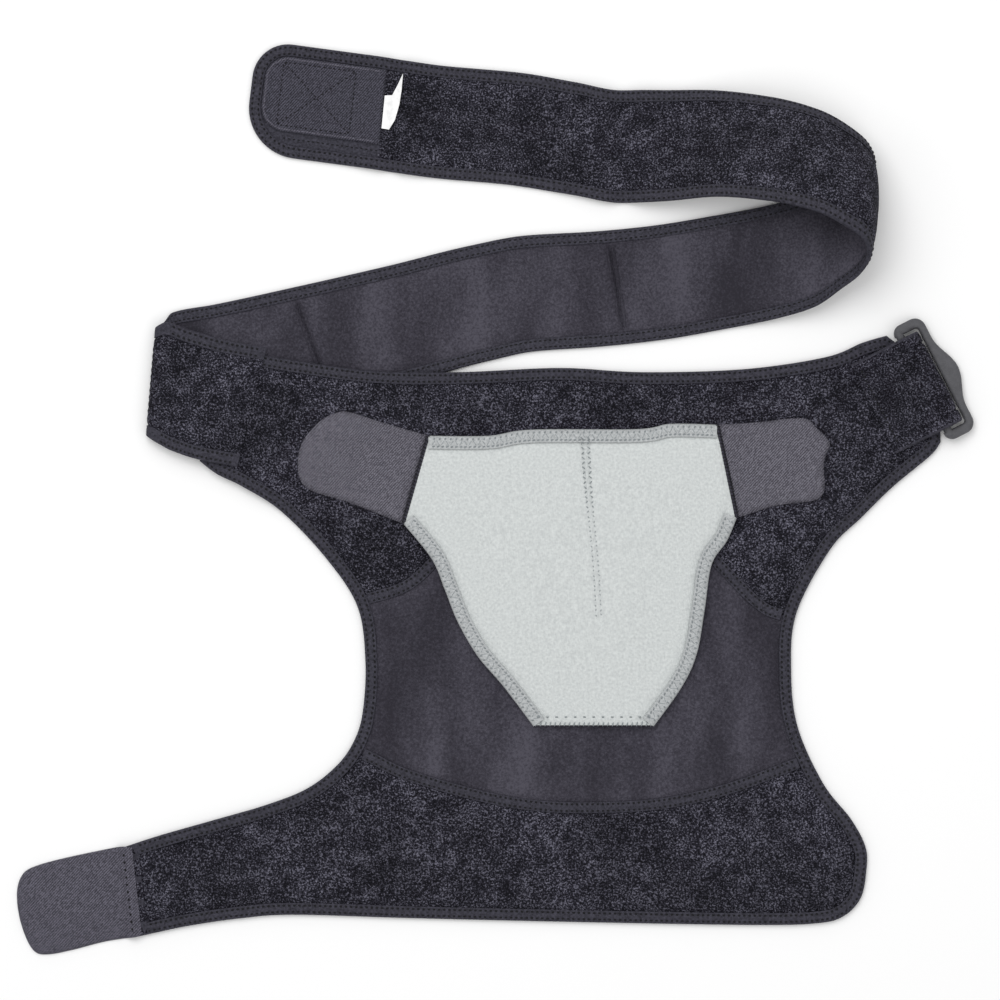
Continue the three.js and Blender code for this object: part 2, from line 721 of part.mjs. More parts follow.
// Outline of a strap end with two round corners, from its second edge round to its first
function roundEnd(from, to, half, secondRadius, firstRadius) {
  const steps = 4;
  const corner = (side, start, radius) => Array.from({ length: steps + 1 }, (_, i) => {
    const angle = start - (Math.PI * i) / (2 * steps);
    return new THREE.Vector2(
      to - radius + radius * Math.cos(angle),
      side * (half - radius) + radius * Math.sin(angle),
    );
  });
  return [
    new THREE.Vector2(from, half),
    ...corner(1, Math.PI / 2, secondRadius),
    ...corner(-1, 0, firstRadius),
    new THREE.Vector2(from, -half),
  ];
}

const strapOutline = roundEnd(0, strapLength, strapWidth / 2, tipLowerRadius, tipRadius);
const patchInset = bindingWidth + seatGap;
const patchEnd = strapLength - patchInset;
const patchStart = patchEnd - patchLength;
const patchHalf = strapWidth / 2 - patchInset - patchTrim / 2;
const patchCorner = tipRadius - patchInset;
const patchOutline = roundEnd(patchStart, patchEnd, patchHalf, patchCorner, patchCorner)
  .map((point) => point.setY(point.y - patchTrim / 2));
const patchBase = strapWall / 2 + seatGap;
const labelOutline = labelShares.map(([out, side]) => new THREE.Vector2(
  patchStart - seatGap - out * labelWidth,
  (0.5 - side) * labelLength - labelRise,
));

// Pressure pad
const padCorner = bodyPoint(padCornerShares);
const padPoint = ([across, down]) => new THREE.Vector2(
  padCorner.x + across * padWidth,
  padCorner.y - down * padHeight,
);
const padTop = curve(padTopShares.map(padPoint), longEdgeStep);
const padRight = curve(padRightShares.map(padPoint));
const padLeft = curve(padLeftShares.map(padPoint));
const padOutline = [...padTop, ...padRight, ...padLeft];

// Hook tab that stands out to the right of a root line
function tabOutline(rootStart, rootEnd, shares, length) {
  const root = rootEnd.clone().sub(rootStart);
  const away = new THREE.Vector2(root.y, -root.x).normalize();
  const place = ([out, side]) => rootStart.clone()
    .addScaledVector(away, seatGap + out * length)
    .addScaledVector(root, side);
  return curve([[0, 0], ...shares, [0, 1]].map(place));
}

// Ends of the arm band's left edge, from its upper corner
const armEnd = [leftArmholeShares[0], rightArmholeShares.at(-1)].map(bodyPoint);

// Slide buckle in its own frame: the pivot at the origin, +X outward, +Y along the bar
function buckleShape() {
  const half = slotLength / 2 + buckleSide;
  const [back, front] = [-buckleSide / 2, pivotBack + outerBarWidth];
  const backRadius = backCornerRadius;
  const shape = new THREE.Shape();
  shape.moveTo(back + backRadius, -half);
  shape.absarc(front - cornerRadius, -half + cornerRadius, cornerRadius, -Math.PI / 2, 0, false);
  const bulgeSteps = 12;
  for (let i = 0; i <= bulgeSteps; i += 1) {
    const share = (2 * i) / bulgeSteps - 1;
    shape.lineTo(front + bulgeDepth * Math.cos((share * Math.PI) / 2) ** 2, (share * bulgeLength) / 2);
  }
  shape.absarc(front - cornerRadius, half - cornerRadius, cornerRadius, 0, Math.PI / 2, false);
  shape.absarc(back + backRadius, half - backRadius, backRadius, Math.PI / 2, Math.PI, false);
  shape.absarc(back + backRadius, -half + backRadius, backRadius, Math.PI, 1.5 * Math.PI, false);
  return shape;
}

function slideBuckle() {
  const body = plate(buckleShape().getPoints(arcSegments), -buckleWall / 2, buckleWall / 2);
  const slot = new THREE.BoxGeometry(pivotBack + overrun, slotLength, buckleWall + overrun);
  const bar = new THREE.CylinderGeometry(barRadius, barRadius, slotLength + buckleSide, barSides);
  const open = body.subtract(solid(slot.translate((pivotBack - overrun) / 2, 0, 0)));
  return laid(open.add(solid(bar)), [], (point) => point);
}

// Named mesh in a material of its own
function piece(name, finish, geometry) {
  geometry.computeVertexNormals();
  const mesh = new THREE.Mesh(geometry, new THREE.MeshStandardMaterial(finish));
  mesh.name = name;
  return mesh;
}

function body() {
  const group = new THREE.Group();
  const yoke = panelStock.intersect(beyondSeam(upperSeam, -1));
  const shoulder = panelStock.intersect(beyondSeam(upperSeam, 1)).intersect(beyondSeam(lowerSeam, -1));
  const arm = panelStock.intersect(beyondSeam(lowerSeam, 1));
  group.add(
    piece('yoke_panel', loopCloth, laidOnTable(yoke)),
    piece('shoulder_panel', jersey, laidOnTable(shoulder)),
    piece('arm_panel', loopCloth, laidOnTable(arm)),
    piece('upper_seam_tape', darkTape, laidOnTable(seamTape(upperSeam, 0, 0).intersect(insideBindings))),
    piece('lower_seam_tape', darkTape, laidOnTable(seamTape(lowerSeam, 0, 0).intersect(insideBindings))),
    piece('top_binding', darkTape, laidOnTable(foldedTape(topEdge, bodyWall, bindingWidth))),
    piece('lower_binding', darkTape, laidOnTable(foldedTape(lowerEdge, bodyWall, bindingWidth))),
    piece('arm_hook_tab', greyHook, laidOnTable(plate(
      tabOutline(...armEnd, armTabShares, armTabLength),
      0,
      tabWall,
    ))),
  );
  return group;
}

function strap() {
  const group = new THREE.Group();
  const low = -strapWall / 2;
  const web = boundPanel(strapOutline, [strapOutline], strapWall, bindingWidth, low);
  group.add(
    piece('strap_web', loopCloth, laidStrap(web)),
    piece('strap_binding', darkTape, laidStrap(foldedTape(strapOutline, strapWall, bindingWidth, low))),
    piece('strap_hook_patch', darkHook, laidStrap(plate(patchOutline, patchBase, patchBase + patchWall))),
    piece('blank_label', whiteSatin, laidStrap(plate(labelOutline, patchBase, patchBase + labelWall))),
  );
  return group;
}

function pad() {
  const group = new THREE.Group();
  const edges = [padTop, padRight, padLeft];
  const tape = (edge) => laidOnTable(foldedTape(edge, padWall, padBindingWidth, onBody));
  const tab = (start, end, shares, length) => laidOnTable(plate(
    tabOutline(start, end, shares, length),
    onBody,
    onBody + tabWall,
  ));
  const shield = boundPanel(padOutline, edges, padWall, padBindingWidth, onBody);
  group.add(
    piece('pressure_pad', greyFoam, laidOnTable(shield)),
    piece('pad_top_binding', greyTape, tape(padTop)),
    piece('pad_right_binding', greyTape, tape(padRight)),
    piece('pad_left_binding', greyTape, tape(padLeft)),
    piece('left_pad_tab', greyHook, tab(padTop[0], padLeft.at(-1), leftTabShares, leftTabLength)),
    piece('right_pad_tab', greyHook, tab(padRight[0], padTop.at(-1), rightTabShares, rightTabLength)),
  );
  return group;
}

function buckle() {
  const mesh = piece('slide_buckle', darkPlastic, slideBuckle());
  const reach = pivotBack + outerBarWidth + bulgeDepth;
  const far = Math.hypot(reach, buckleWall / 2);
  const tilt = Math.asin((foldOuter - tableClearance) / far) - Math.atan2(buckleWall / 2, reach);
  const pivot = bucklePoint(-pivotBack, 0);
  mesh.rotation.set(0, tilt, buckleAngle, 'ZYX');
  mesh.position.set(pivot.x, pivot.y, foldOuter);
  return mesh;
}

const brace = new THREE.Group();
brace.add(body(), strap(), pad(), buckle());
brace.updateMatrixWorld(true);
const extent = new THREE.Box3().setFromObject(brace, true);
const middle = extent.getCenter(new THREE.Vector3());
brace.position.set(-middle.x, -middle.y, -extent.min.z);

export default brace;
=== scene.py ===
import json
import math

import bpy
import numpy as np
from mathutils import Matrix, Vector, geometry, kdtree


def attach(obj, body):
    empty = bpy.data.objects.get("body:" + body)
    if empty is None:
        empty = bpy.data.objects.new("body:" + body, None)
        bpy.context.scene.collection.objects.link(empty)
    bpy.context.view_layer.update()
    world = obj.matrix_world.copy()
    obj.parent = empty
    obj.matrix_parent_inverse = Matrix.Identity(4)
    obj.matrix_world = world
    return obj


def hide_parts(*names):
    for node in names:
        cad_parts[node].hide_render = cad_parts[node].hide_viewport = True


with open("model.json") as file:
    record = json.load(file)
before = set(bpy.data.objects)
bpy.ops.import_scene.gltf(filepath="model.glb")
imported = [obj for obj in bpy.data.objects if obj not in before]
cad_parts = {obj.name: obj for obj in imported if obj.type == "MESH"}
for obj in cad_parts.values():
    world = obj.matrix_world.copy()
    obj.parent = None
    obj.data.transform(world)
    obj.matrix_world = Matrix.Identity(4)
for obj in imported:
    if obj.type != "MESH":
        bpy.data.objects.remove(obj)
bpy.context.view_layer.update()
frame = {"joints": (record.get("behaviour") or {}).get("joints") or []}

# Driving dimensions, as in the solids
BODY_WIDTH = 0.416
BODY_DROP = 0.312
BODY_WALL = 0.003
SEAT_GAP = 0.0003
BINDING_WIDTH = 0.0062
BINDING_LEG = 0.0007
BINDING_WEB = 0.001
SEAM_TAPE_WIDTH = 0.0057
SEAM_TAPE_WALL = 0.0009
STRAP_WIDTH = 0.0586
STRAP_ROOT_WIDTH = 0.064
STRAP_WALL = 0.0028
STRAP_REACH = 0.378
STRAP_CLIMB = 0.174
BEND_HEIGHT = 0.044
FOLD_RADIUS = 0.0025
FOLD_PINCH = 0.003
FOLD_PINCH_RUN = 0.004
ARCH_SHARE = 0.22
TIP_RADIUS = 0.019
TIP_LOWER_RADIUS = 0.026
PATCH_LENGTH = 0.063
PATCH_TRIM = 0.0065
PATCH_WALL = 0.0015
LABEL_LENGTH = 0.030
LABEL_RISE = 0.0073
LABEL_WIDTH = 0.0086
BUCKLE_ANGLE = math.radians(27)
SLOT_LENGTH = 0.0552
BUCKLE_SIDE = 0.0053
BUCKLE_WALL = 0.0038
OUTER_BAR_WIDTH = 0.0041
BULGE_DEPTH = 0.0055
BULGE_LENGTH = 0.040
BAR_RADIUS = 0.0022
PIVOT_BACK = 0.0105
CORNER_RADIUS = 0.006
BACK_CORNER_RADIUS = 0.005
SLOT_CLEARANCE = 0.0008
END_CLEARANCE = 0.0016
TABLE_CLEARANCE = 0.0001
FLAP_REACH = 0.040
SHOULDER_STEP = 0.005
SHOULDER_RUN = 0.0024
FLAP_RAMP = 0.012
PAD_WIDTH = 0.172
PAD_HEIGHT = 0.151
PAD_WALL = 0.005
PAD_BINDING_WIDTH = 0.007
TAB_WALL = 0.002
ARM_TAB_LENGTH = 0.058
LEFT_TAB_LENGTH = 0.062
RIGHT_TAB_LENGTH = 0.054
DRAPE_RUN = 0.025

# Every outline is in thousandths. Outlines of the body, [across, up]
TOP_EDGE = [
    [114, 975], [182, 958], [285, 940], [391, 938], [516, 945], [619, 938], [746, 943], [848, 963],
    [894, 987],
]
RIGHT_ARMHOLE = [
    [979, 799], [932, 747], [893, 696], [854, 643], [812, 538], [805, 443], [813, 348], [845, 253],
    [880, 193], [898, 147], [899, 107], [892, 62], [871, 32], [839, 20], [762, 17], [571, 21], [341, 28],
    [185, 34], [117, 28], [50, 15], [-13, -3],
]
LEFT_ARMHOLE = [
    [-26, 148], [18, 167], [84, 192], [151, 218], [201, 245], [239, 285], [260, 327], [270, 375],
    [273, 458], [263, 548], [224, 628], [168, 706], [120, 747], [88, 768], [66, 790],
]
UPPER_SEAM = [
    [241, 553], [282, 563], [330, 587], [379, 650], [448, 730], [535, 762], [623, 730], [691, 650],
    [759, 558], [790, 535], [835, 522],
]
LOWER_SEAM = [
    [229, 318], [273, 300], [324, 268], [417, 232], [494, 215], [571, 213], [647, 220], [724, 243],
    [800, 280], [854, 308],
]
DRAPE_LINE = [[129, 742], [385, 950]]
BUCKLE_PLACE = [993, 934]
PAD_CORNER = [352, 832]

# Outline of the pad, [across, down] of its width and height
PAD_TOP = [[0, 0], [180, 0], [310, -21], [630, -23], [730, -41], [871, -38]]
PAD_RIGHT = [[931, 283], [901, 362], [855, 444], [834, 599], [810, 751], [765, 864], [680, 1000]]
PAD_LEFT = [[317, 1000], [227, 864], [148, 758], [88, 641], [48, 527], [9, 423], [-76, 303]]
PAD_SEAM = [[472, 0], [482, 180], [503, 420], [514, 625]]

# Outlines of the hook tabs, [out, along] of their length and root line, and the label's, [across, down]
ARM_TAB = [
    [100, 0], [540, 50], [810, 100], [940, 170], [1010, 340], [1020, 600], [980, 870], [910, 1040],
    [790, 1080], [570, 1060], [270, 1010],
]
LEFT_TAB = [
    [370, 0], [680, -10], [780, 30], [900, 170], [990, 420], [990, 640], [930, 840], [800, 930], [480, 940],
]
RIGHT_TAB = [
    [380, 40], [740, 10], [850, 50], [890, 160], [920, 360], [970, 470], [1020, 570], [930, 740],
    [810, 880], [350, 940],
]
LABEL = [
    [0, 0], [450, 0], [760, 190], [940, 460], [1000, 720], [1000, 1000], [700, 770], [450, 600], [0, 570],
]

# The strap's rows: both edges as places on the body, then both as [reach, climb, height] from its start
SEWN_ROWS = [[149, 975, 114, 784], [96, 990, 64, 795], [52, 1008, 30, 809]]
FOLD_ROW = [20, 1024, 7, 820]
STRAP_START = [4, 925]
LAID_ROWS = [
    [30, 200, 0, 28, -161, 0], [89, 224, 0, 107, -131, 0], [206, 278, 0, 231, -69, 0],
    [330, 340, 0, 358, -3, 0], [440, 400, 0, 464, 57, 0], [516, 430, 0, 530, 87, 0],
    [605, 442, 0, 613, 99, 0], [688, 460, 0, 702, 119, 0], [777, 490, 0, 795, 155, 0],
    [839, 510, 0, 860, 188, 70], [894, 537, 0, 911, 224, 200], [946, 578, 20, 946, 278, 360],
    [977, 624, 90, 974, 324, 550], [991, 664, 180, 984, 366, 750], [983, 709, 280, 979, 403, 910],
    [963, 756, 350, 953, 439, 1000], [920, 809, 360, 911, 487, 950], [853, 846, 270, 846, 524, 770],
    [777, 860, 110, 773, 546, 500], [708, 866, 0, 707, 531, 180], [646, 866, 0, 646, 528, 0],
    [585, 890, 0, 580, 552, 0], [509, 916, 0, 492, 585, 0], [399, 937, 0, 389, 606, 0],
    [303, 970, 0, 286, 636, 0], [227, 994, 0, 209, 657, 0], [147, 1015, 0, 128, 684, 0],
]

# The strap's sewn end is pressed to a share of its thickness, over a run from that end
SEWN_PRESS = 0.3
SEWN_PRESS_RUN = 0.014

# Creases along the strap: tight folds in columns [place, slant], valleys between swells in columns
# [place, height, run, reach], then a fold's two lips and how they fade near the strap's edges
FOLDS = [[0.1417, 0.2], [0.303, 0.11]]
VALLEYS = [[0.5927, 0.0026, 0.010, 0.045], [0.713, 0.0018, 0.006, 0.026]]
LIP_HIGH = 0.0019
LIP_OUT = 0.0013
LIP_WIDTH = 0.00075
LIP_FADE = [0.7 * BINDING_WIDTH, 1.6 * BINDING_WIDTH]
LIP_LINES = [-0.0026, -0.0018, -0.0012, -0.0006, 0, 0.0006, 0.0012, 0.0018, 0.0026]

# Loop pile: tufts on wider lumps, in columns [size, height]
PILE = [[0.0023, 0.00022], [0.007, 0.0002]]

# How far cloth goes in under a tape, and the lines of mesh points beside the tape
TUCK = 0.0002
TONGUE = BINDING_WEB + TUCK
TAPE_LINES = [BINDING_WIDTH + 0.0003, BINDING_WIDTH + 0.0014]
SEAM_LINES = [side * (SEAM_TAPE_WIDTH / 2 + past) for side in (-1, 1) for past in (0, 0.0012)]
PAD_LINES = [PAD_BINDING_WIDTH + 0.0004, PAD_BINDING_WIDTH + 0.0018]

# Kinds of stitches, in columns [pitch, half the thread's width, length, slant, each second slants back]
STITCHES = {
    "tape": [0.0027, 0.00052, 0.00162, 0.0, False],
    "flap": [0.0027, 0.0005, 0.00162, 0.0, False],
    "patch": [0.0026, 0.0003, 0.00156, 0.0, False],
    "arm tab": [0.004, 0.0006, 0.0016, 0.0, False],
    "notches": [0.0019, 0.0003, 0.0026, 1.35, False],
    "pad seam": [0.0026, 0.00028, 0.0021, 0.8, True],
    "hem dots": [0.005, 0.0004, 0.0016, 0.0, False],
    "hem serging": [0.0025, 0.0003, 0.003, 1.3, False],
    "dots": [0.0029, 0.00035, 0.0014, 1.2, False],
    "zigzag": [0.0024, 0.00022, 0.0034, 1.0, True],
    "chain": [0.0024, 0.0004, 0.0018, 0.35, False],
}

# Fineness of the meshes
CLOTH_STEP = 0.0021
TAPE_STEP = 0.0015
FINE_STEP = 0.0011
SAMPLE_STEP = 0.0008
MM = 0.001


def body_point(place):
    return np.array(place) / 1000 * [BODY_WIDTH, BODY_DROP]


# Flat curves and outlines
def unit(vectors):
    return vectors / np.linalg.norm(vectors, axis=-1, keepdims=True)


def left_of(vectors):
    """The same vectors turned by a quarter to the left."""
    return np.stack([-vectors[..., 1], vectors[..., 0]], -1)


def ring_of(turns, across, up):
    """Points round an oval, in columns [across, up] from its middle."""
    angle = np.linspace(0, 2 * math.pi, turns, endpoint=False)
    return np.column_stack([across * np.cos(angle), up * np.sin(angle)])


def run_along(line):
    """How far along a line each of its points is."""
    return np.r_[0, np.cumsum(np.linalg.norm(np.diff(line, axis=0), axis=1))]


def even(line, step):
    """The same line with evenly spaced points."""
    line = np.asarray(line, float)
    run = run_along(line)
    places = np.linspace(0, run[-1], max(math.ceil(run[-1] / step), 2) + 1)
    return np.column_stack([np.interp(places, run, column) for column in line.T])


def curve(points):
    """Smooth curve through points, as evenly spaced points."""
    points = np.asarray(points, float)
    padded = np.vstack([points[:1], points, points[-1:]])
    t = np.linspace(0, 1, 24, endpoint=False)[:, None]
    spans = []
    for p0, p1, p2, p3 in zip(padded, padded[1:], padded[2:], padded[3:]):
        v1, v2 = (p2 - p0) / 2, (p3 - p1) / 2
        cubic = (2 * p1 - 2 * p2 + v1 + v2) * t**3
        square = (3 * p2 - 3 * p1 - 2 * v1 - v2) * t**2
        spans.append(cubic + square + v1 * t + p1)
    return even(np.vstack([*spans, points[-1:]]), TAPE_STEP)


def refined(line, step=TAPE_STEP):
    """The same polyline with points added along it, its corners kept."""
    parts = [even([a, b], step)[:-1] for a, b in zip(line, line[1:])]
    return np.vstack([*parts, line[-1:]])


def without_doubles(line):
    return line[np.r_[True, np.diff(run_along(line)) > 1e-6]]


def closed(outline):
    return np.vstack([outline, outline[:1]])


def mitres(line):
    """Sideways vectors to a polyline's right that keep its strips' width."""
    side = -left_of(unit(np.diff(line, axis=0)))
    before, after = np.vstack([side[:1], side]), np.vstack([side, side[-1:]])
    return (before + after) / (1 + (before * after).sum(1))[:, None]


def offset(line, distance):
    return line + mitres(line) * distance


def beside(edges, insets):
    """Lines beside some edges, each at some distances inwards."""
    return [even(offset(edge, inset), CLOTH_STEP) for edge in edges for inset in insets]


def rings(outline, insets):
    """A closed outline moved inwards by some distances."""
    return [offset(closed(outline), inset)[:-1] for inset in insets]


def inside(outline, points):
    """Which points lie in a closed outline."""
    found = np.zeros(len(points), bool)
    x, y = points.T
    for (x1, y1), (x2, y2) in zip(outline, np.roll(outline, -1, axis=0)):
        if y1 == y2:
            continue
        crosses = (y1 > y) != (y2 > y)
        found ^= crosses & (x < (x2 - x1) * (y - y1) / (y2 - y1) + x1)
    return found


def distance_to(lines, points):
    """Distance of each point from the nearest of some polylines."""
    samples = np.vstack([refined(line, SAMPLE_STEP) for line in lines])
    tree = kdtree.KDTree(len(samples))
    for i, (x, y) in enumerate(samples):
        tree.insert((x, y, 0), i)
    tree.balance()
    return np.array([tree.find((x, y, 0))[2] for x, y in points])


def rise(value, start, end):
    """Smooth step from 0 at start to 1 at end."""
    t = np.clip((value - start) / (end - start), 0, 1)
    return t * t * (3 - 2 * t)


def ridge(value, middle, width):
    """Soft ridge, 1 at its middle."""
    return np.exp(-(((value - middle) / width) ** 2))


LUMP_CELLS = 256
LUMP_ORIGIN = 1000


def lumps(points, size, seed):
    """Smooth random heights from -1 to 1, about size across."""
    grid = np.random.default_rng(seed).uniform(-1, 1, (LUMP_CELLS, LUMP_CELLS))
    at = points / size + LUMP_ORIGIN
    cell = np.floor(at).astype(int)
    share = at - cell
    share = share * share * (3 - 2 * share)
    (i, j), (u, v) = (cell % (LUMP_CELLS - 1)).T, share.T
    low = grid[i, j] * (1 - u) + grid[i + 1, j] * u
    high = grid[i, j + 1] * (1 - u) + grid[i + 1, j + 1] * u
    return low * (1 - v) + high * v


def pile_of(points, seed):
    """Uneven height of loop pile."""
    return sum(high * lumps(points, size, seed + i) for i, (size, high) in enumerate(PILE))


# Where the body's pattern goes: draped over the strap, then folded back round the buckle's inner bar
FLAP_WIDTH = SLOT_LENGTH - 2 * END_CLEARANCE
FOLD_OUTER = BODY_WALL + BAR_RADIUS + SEAT_GAP
FOLD_BACK = FOLD_OUTER + SLOT_CLEARANCE
FOLD_MIDDLE = FOLD_OUTER - BODY_WALL / 2
FOLD_LENGTH = math.pi * FOLD_MIDDLE
RAMP_START = PIVOT_BACK - FOLD_BACK + BAR_RADIUS + SLOT_CLEARANCE
FLAP_DROP = 2 * (FOLD_OUTER - BODY_WALL) - SEAT_GAP
PATTERN_END = -FOLD_BACK + FOLD_LENGTH + FLAP_REACH - FOLD_BACK
DRAPE_LIFT = STRAP_WALL + SEAT_GAP
ON_BODY = BODY_WALL + SEAT_GAP
outer = np.array([math.cos(BUCKLE_ANGLE), math.sin(BUCKLE_ANGLE)])
along = np.array([math.sin(BUCKLE_ANGLE), -math.cos(BUCKLE_ANGLE)])
buckle_centre = body_point(BUCKLE_PLACE)
hinge = np.array(frame["joints"][0]["pos_m"])
shift = np.array([*(hinge[:2] - (buckle_centre - PIVOT_BACK * outer)), 0])

drape_start, drape_end = body_point(DRAPE_LINE)
drape_down = -left_of(unit(drape_end - drape_start))


def buckle_point(out, down):
    return buckle_centre + out * outer + down * along


def drape(points):
    past = (points - drape_start) @ drape_down
    return DRAPE_LIFT * (1 - rise(past, 0, DRAPE_RUN))


def lay(points, heights):
    """Places in the row frame of pattern points at heights in the cloth."""
    out = (points - buckle_centre) @ outer
    past = np.maximum(out + FOLD_BACK, 0)
    radius = FOLD_OUTER - heights
    angle = np.minimum(past / FOLD_MIDDLE, math.pi)
    back = np.maximum(past - FOLD_LENGTH, 0)
    drop = FLAP_DROP * rise(back, RAMP_START, RAMP_START + FLAP_RAMP)
    folded = past > 0
    reach = np.where(folded, -FOLD_BACK + radius * np.sin(angle) - back - out, 0)
    flat = points + reach[:, None] * outer
    height = np.where(folded, FOLD_OUTER - radius * np.cos(angle) - drop, heights + drape(points))
    return np.column_stack([flat, np.maximum(height, 0)]) + shift


# Where the strap's pattern goes
STRAP_TABLE = STRAP_WALL / 2
SEWN_HEIGHT = DRAPE_LIFT + BODY_WALL + SEAT_GAP + STRAP_WALL / 2
FOLD_TOP = STRAP_TABLE + 2 * FOLD_RADIUS
FOLD_STEPS = 4


def strap_rows():
    """Both edges of the strap's rows, from its sewn end to its tip."""
    rows = []
    for row, height in zip(SEWN_ROWS, [SEWN_HEIGHT, SEWN_HEIGHT, (SEWN_HEIGHT + FOLD_TOP) / 2]):
        rows.append([[*body_point(row[:2]), height], [*body_point(row[2:]), height]])
    for step in range(FOLD_STEPS + 1):
        angle = math.pi * step / FOLD_STEPS
        height = STRAP_TABLE + FOLD_RADIUS * (1 + math.cos(angle))
        back = np.array([FOLD_RADIUS * math.sin(angle), 0])
        rows.append([[*(body_point(FOLD_ROW[i:i + 2]) - back), height] for i in (0, 2)])
    laid = np.reshape(LAID_ROWS, (-1, 2, 3)) / 1000 * [STRAP_REACH, STRAP_CLIMB, BEND_HEIGHT]
    return np.vstack([rows, laid + [*body_point(STRAP_START), STRAP_TABLE]])


def smooth_through(places, values, at):
    """Smooth line through values at given places that never runs past them."""
    climb = np.diff(values) / np.diff(places)
    before, after = np.r_[climb[:1], climb], np.r_[climb, climb[-1:]]
    product = before * after
    slope = np.where(product > 0, 2 * product / np.where(product > 0, before + after, 1), 0)
    i = np.clip(np.searchsorted(places, at, "right") - 1, 0, len(places) - 2)
    run = places[i + 1] - places[i]
    t = (at - places[i]) / run
    ends = values[i] * (1 + 2 * t) * (1 - t) ** 2 + values[i + 1] * t * t * (3 - 2 * t)
    return ends + run * t * (1 - t) * ((1 - t) * slope[i] - t * slope[i + 1])


rows = strap_rows()
row_places = run_along(rows.mean(1))
STRAP_LENGTH = row_places[-1]
stations = np.linspace(0, STRAP_LENGTH, 2000)
edge_lines = np.array([
    [smooth_through(row_places, rows[:, edge, axis], stations) for axis in range(3)] for edge in (0, 1)
])
strap_middle = edge_lines.mean(0).T
strap_across = unit((edge_lines[1] - edge_lines[0]).T)
strap_up = unit(np.cross(unit(np.gradient(strap_middle, axis=0)), strap_across))
fold_place = row_places[len(SEWN_ROWS) + FOLD_STEPS // 2]
strap_taper = np.interp(stations, [0, STRAP_LENGTH / 2], [STRAP_ROOT_WIDTH, STRAP_WIDTH])
strap_widths = strap_taper - 2 * FOLD_PINCH * ridge(stations, fold_place, FOLD_PINCH_RUN)
lift = STRAP_TABLE + np.abs(strap_across[:, 2]) * strap_widths / 2
strap_middle[:, 2] = np.maximum(strap_middle[:, 2], lift)
strap_arch = ARCH_SHARE * np.maximum(strap_middle[:, 2] - SEWN_HEIGHT, 0)


def at_stations(table, at):
    return np.column_stack([np.interp(at, stations, column) for column in table.T])


def lay_strap(points, heights):
    """Places in the row frame of points on the strap at heights over its middle."""
    at = np.clip(points[:, 0], 0, STRAP_LENGTH)
    scale = np.interp(at, stations, strap_widths) / STRAP_WIDTH
    press = SEWN_PRESS + (1 - SEWN_PRESS) * rise(at, 0.0, SEWN_PRESS_RUN)
    pressed = heights * press - STRAP_WALL / 2 * (1 - press)
    bulge = np.interp(at, stations, strap_arch) * (1 - (2 * points[:, 1] / STRAP_WIDTH) ** 2)
    side = at_stations(strap_across, at) * (points[:, 1] * scale)[:, None]
    up = at_stations(strap_up, at) * (pressed + bulge)[:, None]
    place = at_stations(strap_middle, at) + side + up + shift
    place[:, 2] = np.maximum(place[:, 2] + creases(at, points[:, 1]), 0)
    return place


def creases(at, across):
    """How far the strap's creases lift it off the table."""
    lifted = np.zeros(len(at))
    for place, slant in FOLDS:
        gap = np.abs(at - place - slant * across)
        from_edge = STRAP_WIDTH / 2 - np.abs(across)
        lifted += LIP_HIGH * ridge(gap, LIP_OUT, LIP_WIDTH) * rise(from_edge, *LIP_FADE)
    for place, high, run, reach in VALLEYS:
        gap = np.abs(at - place)
        lifted += high * rise(gap, 0, run) * (1 - rise(gap, run, reach))
    return lifted


# Meshes
def mesh_piece(name, verts, faces, body="brace", sharp=50):
    """Smooth piece that rides a body, with sharp edges past an angle in degrees."""
    mesh = bpy.data.meshes.new(name)
    mesh.from_pydata(np.asarray(verts).tolist(), [], faces)
    mesh.validate()
    mesh.shade_smooth()
    mesh.set_sharp_from_angle(angle=math.radians(sharp))
    piece = bpy.data.objects.new(name, mesh)
    bpy.context.scene.collection.objects.link(piece)
    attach(piece, body)
    return piece


def used_only(faces):
    """The points that some faces use, and the faces over those points alone."""
    used, places = np.unique(faces, return_inverse=True)
    return used, places.reshape(faces.shape)


MESH_GAP = 1e-5
LEAST_AREA = 1e-12


def filled(outline, spacing, inner_lines=()):
    """Points and triangles over a closed outline, with a grid and some lines' points in it."""
    low, high = outline.min(0), outline.max(0)
    xs = np.arange(low[0], high[0], spacing)
    ys = np.arange(low[1], high[1], spacing * math.sqrt(3) / 2)
    grid = np.array([[x + (i % 2) * spacing / 2, y] for i, y in enumerate(ys) for x in xs])
    grid = grid[inside(outline, grid)]
    lines = [line[inside(outline, line)] for line in inner_lines]
    grid = grid[distance_to([closed(outline), *lines], grid) > spacing * 0.45]
    edges = [(i, (i + 1) % len(outline)) for i in range(len(outline))]
    corners = [Vector(point) for point in (np.vstack([outline, *lines, grid]) / MM).tolist()]
    result = geometry.delaunay_2d_cdt(corners, edges, [], 0, MESH_GAP, False)
    flat = np.array([list(point) for point in result[0]]) * MM
    faces = np.array([face for face in result[2] if len(face) == 3])
    faces = faces[inside(outline, flat[faces].mean(1))]
    a, b, c = flat[faces].transpose(1, 0, 2)
    area = np.cross(b - a, c - a)
    faces[area < 0] = faces[area < 0][:, ::-1]
    used, faces = used_only(faces[np.abs(area) > LEAST_AREA])
    return flat[used], faces


def shell(name, points, faces, top, bottom, place, **options):
    """Closed piece between a top and a bottom height over the same triangles."""
    count = len(points)
    verts = np.vstack([place(points, top), place(points, bottom)])
    directed = {(a, b) for f in faces.tolist() for a, b in zip(f, f[1:] + f[:1])}
    border = [(a, b) for a, b in directed if (b, a) not in directed]
    walls = [(a + count, b + count, b, a) for a, b in sorted(border)]
    under = (faces[:, ::-1] + count).tolist()
    return mesh_piece(name, verts, faces.tolist() + under + walls, **options)


